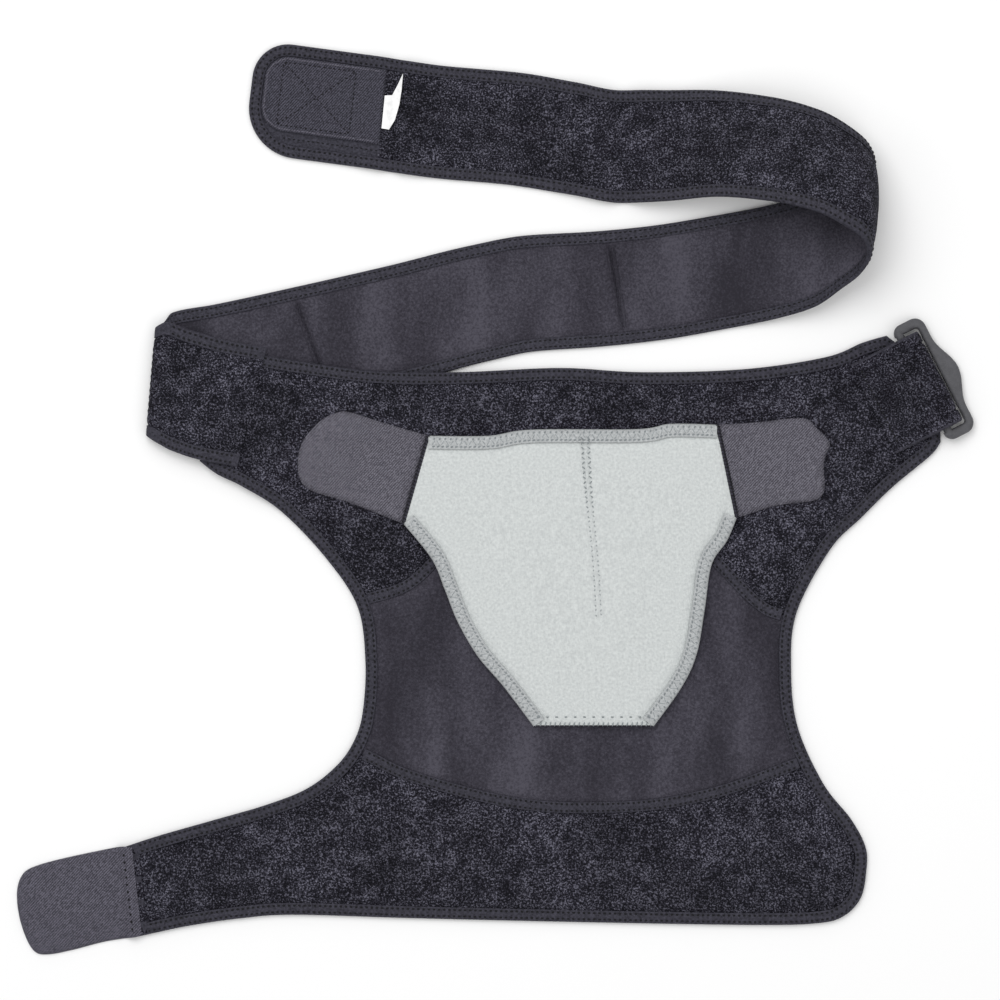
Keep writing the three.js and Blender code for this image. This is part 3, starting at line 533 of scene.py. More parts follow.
def sweep(name, line, section, place, relief=None, **options):
    """Closed piece with a section, in columns [inward, height], carried along a line's right side."""
    section = np.asarray(section, float)
    rows_count, count = len(line), len(section)
    flat = line[:, None, :] + mitres(line)[:, None, :] * section[None, :, :1]
    height = np.repeat(section[None, :, 1], rows_count, axis=0)
    if relief is not None:
        height = height + relief(run_along(line)[:, None], section[None, :, 0], section[None, :, 1])
    verts = place(flat.reshape(-1, 2), height.reshape(-1))
    row_starts = np.arange(rows_count - 1)[:, None] * count
    a = (row_starts + np.arange(count)).ravel()
    b = (row_starts + (np.arange(count) + 1) % count).ravel()
    sides = np.column_stack([a, a + count, b + count, b]).tolist()
    first = list(range(count))
    last = [(rows_count - 1) * count + i for i in reversed(first)]
    return mesh_piece(name, verts, sides + [first, last], **options)


def rounded_edge(distance, radius):
    """Share of a full height at a distance from a rounded edge."""
    t = np.clip(distance / radius, 0, 1)
    return np.sqrt(np.clip(1 - (1 - t) ** 2, 0, 1))


# A stitch: a short grain of thread, thickest between its shoulders, with its two tips sunk in the cloth
GRAIN_SIDES = 5
GRAIN_SHOULDER = 0.28
GRAIN_FLAT = 0.8
GRAIN_SINK = 0.6


def stitches(name, slot, material, kind, rows_of, place):
    """Grains of thread of one kind along rows, each row a flat line and its height."""
    pitch, thread, length, slant, zigzag = STITCHES[kind]
    n = GRAIN_SIDES
    ring = np.column_stack([np.zeros(n), ring_of(n, thread, GRAIN_FLAT * thread)])
    shoulder = [GRAIN_SHOULDER, 0, 0]
    tips = [[[side, 0, -GRAIN_SINK * thread]] for side in (-0.5, 0.5)]
    grain = np.vstack([tips[0], ring - shoulder, ring + shoulder, tips[1]]) * [length, 1, 1]
    near, far = list(range(1, n + 1)), list(range(n + 1, 2 * n + 1))
    turns = list(zip(near, near[1:] + near[:1], far, far[1:] + far[:1]))
    faces = [(0, a, b) for a, b, _, _ in turns] + [(a, c, d, b) for a, b, c, d in turns]
    faces += [(2 * n + 1, d, c) for _, _, c, d in turns]
    verts = []
    for line, height in rows_of:
        line = even(line, pitch)
        middle = (line[1:] + line[:-1]) / 2
        ahead = unit(np.diff(line, axis=0))
        back = zigzag & (np.arange(len(middle)) % 2 == 1)
        lean = np.where(back, -slant, slant)[:, None]
        run = ahead * np.cos(lean) + left_of(ahead) * np.sin(lean)
        flat = middle[:, None] + run[:, None] * grain[:, :1] + left_of(run)[:, None] * grain[:, 1:2]
        verts.append(place(flat.reshape(-1, 2), np.tile(height + grain[:, 2], len(middle))))
    verts = np.vstack(verts)
    starts = range(0, len(verts), len(grain))
    all_faces = [tuple(start + corner for corner in face) for start in starts for face in faces]
    finish(mesh_piece(name, verts, all_faces, sharp=80), slot, material)


# Materials
def srgb(*screen):
    """Linear colour of a screen colour's red, green and blue from 0 to 255."""
    shares = [value / 255 for value in screen]
    return (*[c / 12.92 if c <= 0.04045 else ((c + 0.055) / 1.055) ** 2.4 for c in shares], 1)


SHEEN_ROUGHNESS = 0.6
WAVES_IN_A_UNIT = 0.3183


class Cloth:
    """A material whose colour and bump come from a few procedural textures."""

    def __init__(self, name, roughness, sheen=0.0, specular=0.3):
        self.material = bpy.data.materials.new(name)
        self.material.use_nodes = True
        self.tree = self.material.node_tree
        self.shader = self.tree.nodes["Principled BSDF"]
        self.shader.inputs["Roughness"].default_value = roughness
        self.shader.inputs["Sheen Weight"].default_value = sheen
        self.shader.inputs["Sheen Roughness"].default_value = SHEEN_ROUGHNESS
        self.shader.inputs["Specular IOR Level"].default_value = specular
        self.where = self.tree.nodes.new("ShaderNodeTexCoord").outputs["Object"]
        self.normal = None

    def feed(self, socket, value):
        """Links a socket to another, or sets its value."""
        if isinstance(value, bpy.types.NodeSocket):
            self.tree.links.new(value, socket)
        else:
            socket.default_value = value

    def add(self, kind, **values):
        """A node with its sockets fed and its other settings set."""
        node = self.tree.nodes.new(kind)
        for key, value in values.items():
            if key in node.inputs:
                self.feed(node.inputs[key], value)
            else:
                setattr(node, key, value)
        return node

    def turned(self, angle, stretch=(1, 1, 1)):
        node = self.add("ShaderNodeMapping", Vector=self.where, Rotation=(0, 0, angle), Scale=stretch)
        return node.outputs["Vector"]

    def noise(self, size, detail=2, roughness=0.5, where=None):
        """Noise with features about size across."""
        look = {"Scale": 1 / size, "Detail": detail, "Roughness": roughness}
        return self.add("ShaderNodeTexNoise", Vector=where or self.where, **look).outputs["Fac"]

    def waves(self, size, angle):
        """Straight waves of a length, turned by an angle."""
        node = self.add("ShaderNodeTexWave", Vector=self.turned(angle), Scale=WAVES_IN_A_UNIT / size)
        return node.outputs["Fac"]

    def maths(self, operation, first, second):
        node = self.add("ShaderNodeMath", operation=operation)
        self.feed(node.inputs[0], first)
        self.feed(node.inputs[1], second)
        return node.outputs["Value"]

    def ramp(self, value, stops):
        """Colours at places of a value."""
        node = self.add("ShaderNodeValToRGB", Fac=value)
        while len(node.color_ramp.elements) < len(stops):
            node.color_ramp.elements.new(0.5)
        for element, (place, colour) in zip(node.color_ramp.elements, stops):
            element.position = place
            element.color = colour
        return node.outputs["Color"]

    def multiplied(self, first, second):
        """Product of two colours, which are sockets 6 and 7 of the node that mixes them."""
        node = self.add("ShaderNodeMix", data_type="RGBA", blend_type="MULTIPLY")
        node.inputs["Factor"].default_value = 1.0
        self.feed(node.inputs[6], first)
        self.feed(node.inputs[7], second)
        return node.outputs[2]

    def colour(self, colour):
        self.feed(self.shader.inputs["Base Color"], colour)

    def bump(self, height, distance):
        """Bump over the bumps already there."""
        before = {"Normal": self.normal} if self.normal else {}
        self.normal = self.add("ShaderNodeBump", Height=height, Distance=distance, **before).outputs["Normal"]
        self.feed(self.shader.inputs["Normal"], self.normal)


def loop_cloth():
    """Brushed loop pile, near black with clumps of pale flecks where loops catch the light."""
    cloth = Cloth("loop_cloth", 0.95, specular=0.12)
    clumps = cloth.maths("MULTIPLY", cloth.noise(0.008), 0.2)
    flecks = cloth.maths("ADD", cloth.noise(0.0009, roughness=0.75), clumps)
    pile = cloth.ramp(flecks, [
        (0.48, srgb(18, 17, 23)), (0.59, srgb(33, 32, 40)),
        (0.67, srgb(68, 67, 78)), (0.77, srgb(120, 119, 133)),
    ])
    shade = cloth.ramp(cloth.noise(0.045, detail=3), [(0.35, (0.62, 0.62, 0.62, 1)), (0.65, (1, 1, 1, 1))])
    cloth.colour(cloth.multiplied(pile, shade))
    cloth.bump(cloth.noise(0.0009, detail=3, roughness=0.7), 0.0007)
    return cloth.material


def jersey():
    """Smooth fine knit, with soft diagonal streaks of painted light and shade for the lit and shaded sides of
    soft folds.
    """
    cloth = Cloth("jersey", 0.85, specular=0.2)
    grain = cloth.maths("MULTIPLY", cloth.noise(0.0012, roughness=0.7), 0.5)
    # Painted light and shade: long soft diagonal streaks stand in for the lit and shaded sides of soft folds
    # in the knit
    painted_fold_light = cloth.maths("MULTIPLY", cloth.noise(0.03, where=cloth.turned(0.7, (1, 0.35, 1))), 0.5)
    cloth.colour(cloth.ramp(cloth.maths("ADD", grain, painted_fold_light), [
        (0.38, srgb(40, 38, 46)), (0.5, srgb(56, 54, 63)), (0.62, srgb(75, 73, 83)),
    ]))
    cloth.bump(cloth.waves(0.0008, 0), 0.00006)
    cloth.bump(cloth.noise(0.0007), 0.0001)
    return cloth.material


def tape(name, dark, light):
    cloth = Cloth(name, 0.8, specular=0.25)
    cloth.colour(cloth.ramp(cloth.noise(0.0012, detail=3, roughness=0.7), [(0.3, dark), (0.7, light)]))
    cloth.bump(cloth.noise(0.0006), 0.00012)
    return cloth.material


def hook_cloth(name, dark, middle, light):
    """Short stiff hooks in fine slanting rows."""
    cloth = Cloth(name, 0.85, specular=0.25)
    slanting = cloth.maths("MULTIPLY", cloth.waves(0.0011, 0.75), 0.25)
    grain = cloth.maths("ADD", cloth.noise(0.0008, roughness=0.7), slanting)
    cloth.colour(cloth.ramp(grain, [(0.45, dark), (0.62, middle), (0.78, light)]))
    cloth.bump(grain, 0.0003)
    return cloth.material


def pad_cloth():
    cloth = Cloth("pad_foam", 0.85, sheen=0.1, specular=0.25)
    cloth.colour(cloth.ramp(cloth.noise(0.0014, detail=3, roughness=0.6), [
        (0.3, srgb(184, 188, 188)), (0.7, srgb(208, 212, 211)),
    ]))
    cloth.bump(cloth.waves(0.0009, 0.1), 0.00006)
    cloth.bump(cloth.noise(0.0008), 0.0001)
    return cloth.material


def plain(name, colour, roughness, grain=0.0006, bump=0.00005):
    """One colour, a little darker in patches four grains across."""
    cloth = Cloth(name, roughness, specular=0.4)
    darker = tuple(0.8 * c for c in colour[:3]) + (1,)
    cloth.colour(cloth.ramp(cloth.noise(grain * 4, detail=3), [(0.3, darker), (0.7, colour)]))
    cloth.bump(cloth.noise(grain), bump)
    return cloth.material


LOOP, JERSEY, PAD = loop_cloth(), jersey(), pad_cloth()
HOOK = hook_cloth("grey_hook", srgb(58, 56, 64), srgb(84, 82, 91), srgb(116, 114, 124))
ARM_HOOK = hook_cloth("arm_hook", srgb(46, 45, 53), srgb(73, 71, 81), srgb(102, 100, 112))
DARK_HOOK = hook_cloth("dark_hook", srgb(32, 31, 39), srgb(52, 51, 60), srgb(80, 79, 91))
DARK_TAPE = tape("dark_tape", srgb(27, 26, 33), srgb(66, 65, 76))
PAD_TAPE = tape("pad_tape", srgb(148, 151, 152), srgb(190, 193, 194))
SATIN = plain("white_satin", srgb(250, 250, 250), 0.6)
PLASTIC = plain("dark_plastic", srgb(84, 84, 88), 0.6, grain=0.0007, bump=0.0004)
THREAD = plain("dark_thread", srgb(15, 14, 19), 0.9)
PAD_THREAD = plain("pad_thread", srgb(140, 146, 149), 0.8)


def finish(piece, slot, material, *nodes):
    """Gives a piece its material and hides the solids that it stands for; its slot is not used."""
    piece.data.materials.append(material)
    if nodes:
        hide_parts(*nodes)


# The body's outline: the top edge out to the flap's end, and the lower edge back round to the strap
STEP_OUT = -(PIVOT_BACK + BUCKLE_SIDE / 2 + SLOT_CLEARANCE)
STEP_IN = STEP_OUT - SHOULDER_RUN


def flap_side(side, out):
    return buckle_point(out, side * FLAP_WIDTH / 2)


def shoulder_corner(side):
    return buckle_point(STEP_IN, side * (FLAP_WIDTH / 2 + SHOULDER_STEP))


top_edge = without_doubles(np.vstack([
    curve([*body_point(TOP_EDGE), shoulder_corner(-1)]),
    refined(np.array([shoulder_corner(-1), flap_side(-1, STEP_OUT), flap_side(-1, PATTERN_END)])),
]))
lower_edge = without_doubles(np.vstack([
    refined(np.array([flap_side(1, PATTERN_END), flap_side(1, STEP_OUT), shoulder_corner(1)])),
    curve([shoulder_corner(1), *body_point(RIGHT_ARMHOLE)]),
    refined(np.array([body_point(RIGHT_ARMHOLE[-1]), body_point(LEFT_ARMHOLE[0])])),
    curve(body_point(LEFT_ARMHOLE)),
]))
upper_seam = curve(body_point(UPPER_SEAM))
lower_seam = curve(body_point(LOWER_SEAM))

# Heights of a panel: pressed thin inside the tapes, full between them
TONGUE_LOW = 0.0011
TONGUE_HIGH = 0.0019
PRESS_RUN = 0.0024
SEAM_PRESS_RUN = 0.0018


def panel_heights(points):
    edge = distance_to([top_edge, lower_edge], points)
    seam = distance_to([upper_seam, lower_seam], points)
    free = rise(edge, BINDING_WIDTH - TUCK, BINDING_WIDTH + PRESS_RUN)
    top_free = free * rise(seam, SEAM_TAPE_WIDTH / 2 - TUCK, SEAM_TAPE_WIDTH / 2 + SEAM_PRESS_RUN)
    return TONGUE_HIGH + (BODY_WALL - TONGUE_HIGH) * top_free, TONGUE_LOW * (1 - free), top_free


def body_panels():
    """Yoke, shoulder and arm panels, cut from one pattern along the seams."""
    outline = without_doubles(np.vstack([offset(top_edge, TONGUE), offset(lower_edge, TONGUE)]))
    seams = [upper_seam, lower_seam]
    points, faces = filled(outline, CLOTH_STEP, [
        *beside([top_edge, lower_edge], TAPE_LINES), *beside(seams, SEAM_LINES), *seams,
    ])
    top, bottom, free = panel_heights(points)
    rough = top + pile_of(points, 1) * free
    middles = points[faces].mean(1)
    above_upper, above_lower = (middles[:, 1] > np.interp(middles[:, 0], *seam.T) for seam in seams)
    for name, slot, material, node, chosen, high in (
        ("yoke_cloth", "loop_cloth", LOOP, "yoke_panel", above_upper, rough),
        ("shoulder_jersey", "jersey", JERSEY, "shoulder_panel", above_lower & ~above_upper, top),
        ("arm_band_cloth", "loop_cloth", LOOP, "arm_panel", ~above_lower, rough),
    ):
        used, part = used_only(faces[chosen])
        finish(shell(name, points[used], part, high[used], bottom[used], lay), slot, material, node)


def folded_section(wall, width, low):
    """Section of a tape folded round an edge, in columns [inward, height], with round corners."""
    leg = BINDING_LEG * wall / BODY_WALL
    radius = wall / 2
    half_turn = np.linspace(-math.pi / 2, -3 * math.pi / 2, 9)
    bow = [(radius * 0.9 * (1 + math.cos(t)), radius + radius * math.sin(t)) for t in half_turn]
    top = [(inward * width, wall) for inward in (0.32, 0.45, 0.6, 0.75, 0.86, 0.95)]
    under = [(inward, 0.0) for inward, _ in reversed(top)]
    end_top = [(width, wall - leg * 0.4), (width - leg * 0.3, wall - leg)]
    end_low = [(width - leg * 0.3, leg), (width, leg * 0.4)]
    section = [*under, *bow, *top, *end_top, (BINDING_WEB, wall - leg), (BINDING_WEB, leg), *end_low]
    return np.array(section[::-1]) + [0, low]


# Stitch rows on the dark tapes, in metres inwards, and the dips that stitch rows make
BINDING_ROWS = (0.0016, 0.0049)
BINDING_DIP = 0.00022
DIP_WIDTH = 0.00055
SUNK = 0.0001


def tape_relief(rows_at, wall, low, depth):
    """Dips where the stitch rows pull the tape in, on both faces."""
    def relief(run, inward, height):
        dips = sum(ridge(inward, row, DIP_WIDTH) for row in rows_at)
        pull = depth * (0.7 + 0.3 * np.cos(2 * math.pi * run / STITCHES["tape"][0])) * dips
        up, down = height > low + 0.9 * wall, height < low + 0.1 * wall
        return pull * (down.astype(float) - up)
    return relief


def runs(line, chosen):
    """The unbroken stretches of a line where its points are chosen."""
    breaks = np.flatnonzero(np.diff(chosen.astype(int))) + 1
    pieces = zip(np.split(line, breaks), np.split(chosen, breaks))
    return [piece for piece, kept in pieces if kept[0] and len(piece) > 2]


def dark_edge(name, node, line, wall, place, low, sewn):
    """Dark tape folded over an edge, with rows of stitches along the part of it that is sewn."""
    section = folded_section(wall, BINDING_WIDTH, low)
    piece = sweep(name, line, section, place, tape_relief(BINDING_ROWS, wall, low, BINDING_DIP))
    finish(piece, "dark_tape", DARK_TAPE, node)
    rails = [offset(line, row)[2:-2] for row in BINDING_ROWS]
    rails = [part for rail in rails for part in runs(rail, sewn(rail))]
    rows_of = [(rail, level) for level in (low + wall - SUNK / 2, low + 3 * SUNK) for rail in rails]
    stitches(f"{name}_stitches", "dark_tape", THREAD, "tape", rows_of, place)
    return piece, section


def before_fold(points):
    return (points - buckle_centre) @ outer < -FOLD_BACK


arm_end = np.array([body_point(LEFT_ARMHOLE[0]), body_point(RIGHT_ARMHOLE[-1])])


def sewn_part(points):
    """Where the body's tapes carry stitches."""
    return before_fold(points) & (distance_to([arm_end], points) > 0.9 * BINDING_WIDTH)


def body_bindings():
    """Tapes round the body's edges; the loop cloth covers them over the flap and at the arm band's end."""
    for side, edge in (("top", top_edge), ("lower", lower_edge)):
        name, node = f"{side}_edge_tape", f"{side}_binding"
        piece, section = dark_edge(name, node, edge, BODY_WALL, lay, 0.0, sewn_part)
        piece.data.materials.append(LOOP)
        middles = (edge[1:] + edge[:-1]) / 2
        covered = ~before_fold(middles) | (distance_to([arm_end], middles) < SEAT_GAP)
        inward = (section[:, 0] + np.roll(section[:, 0], -1)) / 2 > 0.2 * BINDING_WIDTH
        for polygon in piece.data.polygons[:len(middles) * len(section)]:
            row, corner = divmod(polygon.index, len(section))
            if covered[row] and inward[corner]:
                polygon.material_index = 1


FLAP_SEWN_IN = 0.0035


def flap_stitches():
    out = PATTERN_END - FLAP_SEWN_IN
    across = SLOT_LENGTH / 2 - BINDING_WIDTH
    line = np.array([buckle_point(out, across), buckle_point(out, -across)])
    stitches("flap_stitches", "dark_tape", THREAD, "flap", [(line, SUNK)], lay)


SEAM_ROW = 0.0017
SEAM_EDGE_DROP = 0.0003


def seam_tapes():
    half = SEAM_TAPE_WIDTH / 2
    low, high = BODY_WALL - SEAM_TAPE_WALL, BODY_WALL
    top = [(half * t, high - SEAM_EDGE_DROP * abs(t) ** 4) for t in np.linspace(1, -1, 9)]
    section = [(-half, low), (half, low), *top]
    whole = np.vstack([offset(top_edge, BINDING_WIDTH), offset(lower_edge, BINDING_WIDTH)])
    for side, seam in (("upper", upper_seam), ("lower", lower_seam)):
        name, line = f"{side}_seam_band", seam[inside(whole, seam)]
        finish(sweep(name, line, section, lay), "dark_tape", DARK_TAPE, f"{side}_seam_tape")
        rows_of = [(offset(line, SEAM_ROW * way)[1:-1], high - SUNK) for way in (-1, 1)]
        stitches(f"{name}_stitches", "dark_tape", THREAD, "tape", rows_of, lay)


# The strap
def arc(centre, radius, first, last, steps=14):
    """Points of an arc between two angles."""
    angle = np.linspace(first, last, steps + 1)
    return np.column_stack([centre[0] + radius * np.cos(angle), centre[1] + radius * np.sin(angle)])


def round_end(start, end, half, second_radius, first_radius):
    """Outline of a strap end with two round corners, from its second edge round to its first."""
    return np.vstack([
        [[start, half]],
        arc((end - second_radius, half - second_radius), second_radius, math.pi / 2, 0),
        arc((end - first_radius, first_radius - half), first_radius, 0, -math.pi / 2),
        [[start, -half]],
    ])


strap_edge = refined(round_end(0, STRAP_LENGTH, STRAP_WIDTH / 2, TIP_LOWER_RADIUS, TIP_RADIUS))
PATCH_INSET = BINDING_WIDTH + SEAT_GAP
PATCH_END = STRAP_LENGTH - PATCH_INSET
PATCH_START = PATCH_END - PATCH_LENGTH
PATCH_BASE = STRAP_WALL / 2 + SEAT_GAP
PATCH_HALF = STRAP_WIDTH / 2 - PATCH_INSET - PATCH_TRIM / 2
PATCH_CORNER = TIP_RADIUS - PATCH_INSET


# The strap's cloth: half its thickness under the tape, how its creases' mesh lines end and are spaced,
# and where its pile lies flat by the patch, on the table and in the fold
STRAP_TONGUE = 0.0005
LIP_LINE_SHORT = 0.0025
LIP_LINE_STEP = 0.0015
FLAT_BY_PATCH = 0.002
FACES_DOWN = 0.2
FLAT_IN_FOLD = (0.004, 0.012)
OFF_FOLD = 0.0075


def strap_web():
    """Strap with loop pile on its outer face and jersey inside."""
    inner = beside([strap_edge], TAPE_LINES)
    side = STRAP_WIDTH / 2 - BINDING_WIDTH - LIP_LINE_SHORT
    for place, slant in FOLDS:
        for gap in LIP_LINES:
            inner.append(even([[place + gap + slant * y, y] for y in (-side, side)], LIP_LINE_STEP))
    points, faces = filled(offset(strap_edge, TONGUE), CLOTH_STEP, inner)
    free = rise(distance_to([strap_edge], points), BINDING_WIDTH - TUCK, BINDING_WIDTH + PRESS_RUN)
    half = STRAP_TONGUE + (STRAP_WALL / 2 - STRAP_TONGUE) * free
    pile = pile_of(points, 3) * free
    pressed = points[:, 0] > PATCH_START - FLAT_BY_PATCH
    pressed |= at_stations(strap_up, points[:, 0])[:, 2] < FACES_DOWN
    pile[pressed] = np.minimum(pile[pressed], 0.0)
    pile *= rise(np.abs(points[:, 0] - fold_place), *FLAT_IN_FOLD)
    piece = shell("strap_cloth", points, faces, half + pile, -half, lay_strap)
    finish(piece, "loop_cloth", LOOP, "strap_web")
    piece.data.materials.append(JERSEY)
    piece.data.materials.append(DARK_TAPE)
    count = len(faces)
    beside_patch = points[faces].mean(1)[:, 0] > PATCH_START
    for polygon in piece.data.polygons[:2 * count]:
        if polygon.index >= count:
            polygon.material_index = 1
        elif beside_patch[polygon.index]:
            polygon.material_index = 2


def off_fold(points):
    return np.abs(points[:, 0] - fold_place) > OFF_FOLD


def strap_binding():
    low = -STRAP_WALL / 2
    dark_edge("strap_edge_tape", "strap_binding", strap_edge, STRAP_WALL, lay_strap, low, off_fold)


# The patch: mesh lines inwards from its edge, its rounded edge, a welt and a cord along it, and how far
# from its start the sewn box begins and ends
EDGE_ROUND = 0.0009
PATCH_LINES = (0.0002, 0.0006, 0.0012, 0.0022, 0.0030)
PATCH_EDGE_LOW = 0.0004
WELT_IN = 0.0013
WELT_HIGH = 0.0005
WELT_FADE = (-0.0012, -0.0004)
CORD_SIZE = (0.00055, 0.0004)
PATCH_SEWN_FROM = 0.016
PATCH_SEWN_TO = 0.054
PATCH_SEWN_IN = 0.0032


def hook_patch():
    """Dark hook patch with an embossed rim and a faint sewn box and cross."""
    middle = -PATCH_TRIM / 2
    edge = round_end(PATCH_START, PATCH_END, PATCH_HALF, PATCH_CORNER, PATCH_CORNER) + [0, middle]
    outline = refined(edge, 2 * FINE_STEP)
    points, faces = filled(outline, CLOTH_STEP, rings(outline, PATCH_LINES))
    depth = distance_to([closed(outline)], points)
    welt = WELT_HIGH * rise(-np.abs(depth - WELT_IN), *WELT_FADE)
    thick = (PATCH_WALL - 2 * PATCH_EDGE_LOW) * rounded_edge(depth, EDGE_ROUND)
    under = np.full(len(points), PATCH_BASE)
    top = PATCH_BASE + PATCH_EDGE_LOW + thick + welt
    piece = shell("strap_patch", points, faces, top, under, lay_strap)
    finish(piece, "dark_hook", DARK_HOOK, "strap_hook_patch")
    face = PATCH_BASE + PATCH_WALL
    section = ring_of(8, *CORD_SIZE) + [WELT_IN, face - 2 * SUNK]
    finish(sweep("strap_patch_rim", refined(edge)[2:-2], section, lay_strap), "dark_hook", ARM_HOOK)
    start, end = PATCH_START + PATCH_SEWN_FROM, PATCH_START + PATCH_SEWN_TO
    low, high = (middle + side * (PATCH_HALF - PATCH_SEWN_IN) for side in (-1, 1))
    box = [[start, low], [end, low], [end, high], [start, high], [start, low]]
    rows_of = [(refined(np.array(line)), face - 3 * SUNK) for line in (box, box[0:3:2], box[1:4:2])]
    by_patch = np.array([[PATCH_START, PATCH_HALF], [PATCH_END - PATCH_CORNER, PATCH_HALF]])
    rows_of.append((by_patch, STRAP_WALL / 2))
    stitches("strap_patch_stitches", "dark_hook", THREAD, "patch", rows_of, lay_strap)


LABEL_STEP = 0.0012
LABEL_WALL = 0.0005
LABEL_CURL = 0.0009


def label_tag():
    shares = refined(closed(np.array(LABEL) / 1000), 0.1)[-2::-1]
    outline = np.column_stack([
        PATCH_START - SEAT_GAP - shares[:, 0] * LABEL_WIDTH,
        (0.5 - shares[:, 1]) * LABEL_LENGTH - LABEL_RISE,
    ])
    points, faces = filled(outline, LABEL_STEP)
    curl = LABEL_CURL * ((PATCH_START - points[:, 0]) / LABEL_WIDTH) ** 2
    base = PATCH_BASE + SEAT_GAP + curl
    piece = shell("blank_tag", points, faces, base + LABEL_WALL, base, lay_strap)
    finish(piece, "white_satin", SATIN, "blank_label")


# The pad: half its thickness at its edge, how it swells from there, and the groove of its seam
PAD_EDGE_HALF = 0.0012
PAD_TAPE_FADE = (PAD_BINDING_WIDTH - TUCK, PAD_BINDING_WIDTH + 0.003)
PAD_EDGE_FADE = (-0.0006, 0.003)
PAD_CROWN = 0.0009
PAD_CROWN_FADE = (0.006, 0.05)
PAD_GROOVE = 0.0006
PAD_GROOVE_OUT = 0.0012
PAD_SEAM_LINES = (-0.0022, -0.0012, 0, 0.0012, 0.0022)
PAD_SEAM_STEP = 0.0015
PAD_SEAM_ROW = 0.0016


def pad_point(place):
    return body_point(PAD_CORNER) + np.array(place) / 1000 * [PAD_WIDTH, -PAD_HEIGHT]


pad_top, pad_right, pad_left = (curve(pad_point(line)) for line in (PAD_TOP, PAD_RIGHT, PAD_LEFT))


def pressure_pad():
    """Stuffed pad with a zigzag seam down its middle and a serged hem."""
    bound = [pad_top, pad_right, pad_left]
    outline = without_doubles(refined(np.vstack([offset(line, TONGUE) for line in bound])))
    seam = curve(pad_point(PAD_SEAM))
    seam_lines = [even(offset(seam, at), PAD_SEAM_STEP) for at in PAD_SEAM_LINES]
    points, faces = filled(outline, CLOTH_STEP, [*beside(bound, PAD_LINES), *seam_lines])
    edge = distance_to([closed(outline)], points)
    free = rise(distance_to(bound, points), *PAD_TAPE_FADE) * rise(edge, *PAD_EDGE_FADE)
    half = PAD_EDGE_HALF + (PAD_WALL / 2 - PAD_EDGE_HALF) * free
    crown = PAD_CROWN * rise(edge, *PAD_CROWN_FADE)
    groove = PAD_GROOVE * ridge(distance_to([seam], points), PAD_GROOVE_OUT, PAD_GROOVE)
    middle = ON_BODY + PAD_WALL / 2
    piece = shell("pad_cloth", points, faces, middle + half + crown - groove, middle - half, lay)
    finish(piece, "pad_foam", PAD, "pressure_pad")
    top = ON_BODY + PAD_WALL + 4 * SUNK
    hem = refined(np.array([pad_right[-1], pad_left[0]]))
    for name, kind, rows_of in (
        ("pad_seam_stitches", "pad seam", [(offset(seam, PAD_SEAM_ROW * way), top) for way in (-1, 1)]),
        ("pad_hem_dots", "hem dots", [(offset(hem, 0.005), top - 2 * SUNK)]),
        ("pad_hem_serging", "hem serging", [(offset(hem, 0.0014), top - 10 * SUNK)]),
    ):
        stitches(name, "pad_foam", PAD_THREAD, kind, rows_of, lay)


# Where the pad's tapes are pulled in, and their stitch rows in columns [kind, inwards]
PAD_DIPS = (0.0018, 0.0055)
PAD_DIP = 0.0004
PAD_ROWS = [["dots", 0.0016], ["zigzag", 0.0036], ["chain", 0.0056]]


def pad_bindings():
    """Pale tapes round the pad, sewn with a zigzag between a dotted and a chained row."""
    section = folded_section(PAD_WALL, PAD_BINDING_WIDTH, ON_BODY)
    relief = tape_relief(PAD_DIPS, PAD_WALL, ON_BODY, PAD_DIP)
    top = ON_BODY + PAD_WALL - SUNK
    for side, line in (("top", pad_top), ("right", pad_right), ("left", pad_left)):
        name = f"pad_{side}_tape"
        finish(sweep(name, line, section, lay, relief), "pad_tape", PAD_TAPE, f"pad_{side}_binding")
        for kind, row in PAD_ROWS:
            stitches(f"{name}_{kind}", "pad_tape", PAD_THREAD, kind, [(offset(line, row)[1:-1], top)], lay)


# The tabs: mesh lines inwards from their edge, a rim along it, and how far they climb at the root
TAB_LINES = (0.0002, 0.0005, 0.001, 0.0018, 0.0026)
TAB_RIM_HIGH = 0.0003
TAB_RIM_IN = 0.0016
TAB_RIM_WIDTH = 0.0007
TAB_RIM_FADE = (0.004, 0.012)
TAB_CLIMB = (-0.0060, -0.0015)
ARM_COVER = 0.003
ARM_SEWN_OUT = 0.0016
ARM_SEWN_HIGH = 0.0012
TAB_SEAM_SIZE = (0.0011, 0.0021)
TAB_SEAM_MIDDLE = (-0.0002, 0.0022)
TAB_SEWN_HIGH = 0.0041


def tab_outline(root_start, root_end, places, length):
    root = root_end - root_start
    away = -left_of(unit(root))
    shares = np.array([[0, 0], *places, [0, 1000]]) / 1000
    return curve([root_start + away * (SEAT_GAP + out * length) + root * side for out, side in shares])


def hook_tab(name, node, root_start, root_end, outline, low, cover):
    """Hook tab that lies flat and climbs at its root, where it may cover the edge that it is sewn to."""
    away = -left_of(unit(root_end - root_start))
    points, faces = filled(outline, CLOTH_STEP, rings(outline, TAB_LINES))
    out = (points - root_start) @ away
    depth = distance_to([closed(outline)], points)
    rim = TAB_RIM_HIGH * ridge(depth, TAB_RIM_IN, TAB_RIM_WIDTH) * rise(out, *TAB_RIM_FADE)
    climb = rise(-out, *TAB_CLIMB) * (cover > 0)
    thick = TAB_WALL * (0.3 + 0.7 * rounded_edge(depth, EDGE_ROUND)) * (1 - 0.4 * climb)
    under = low + cover * climb
    material = ARM_HOOK if cover else HOOK
    finish(shell(name, points, faces, under + thick + rim, under, lay), "grey_hook", material, node)
    return away


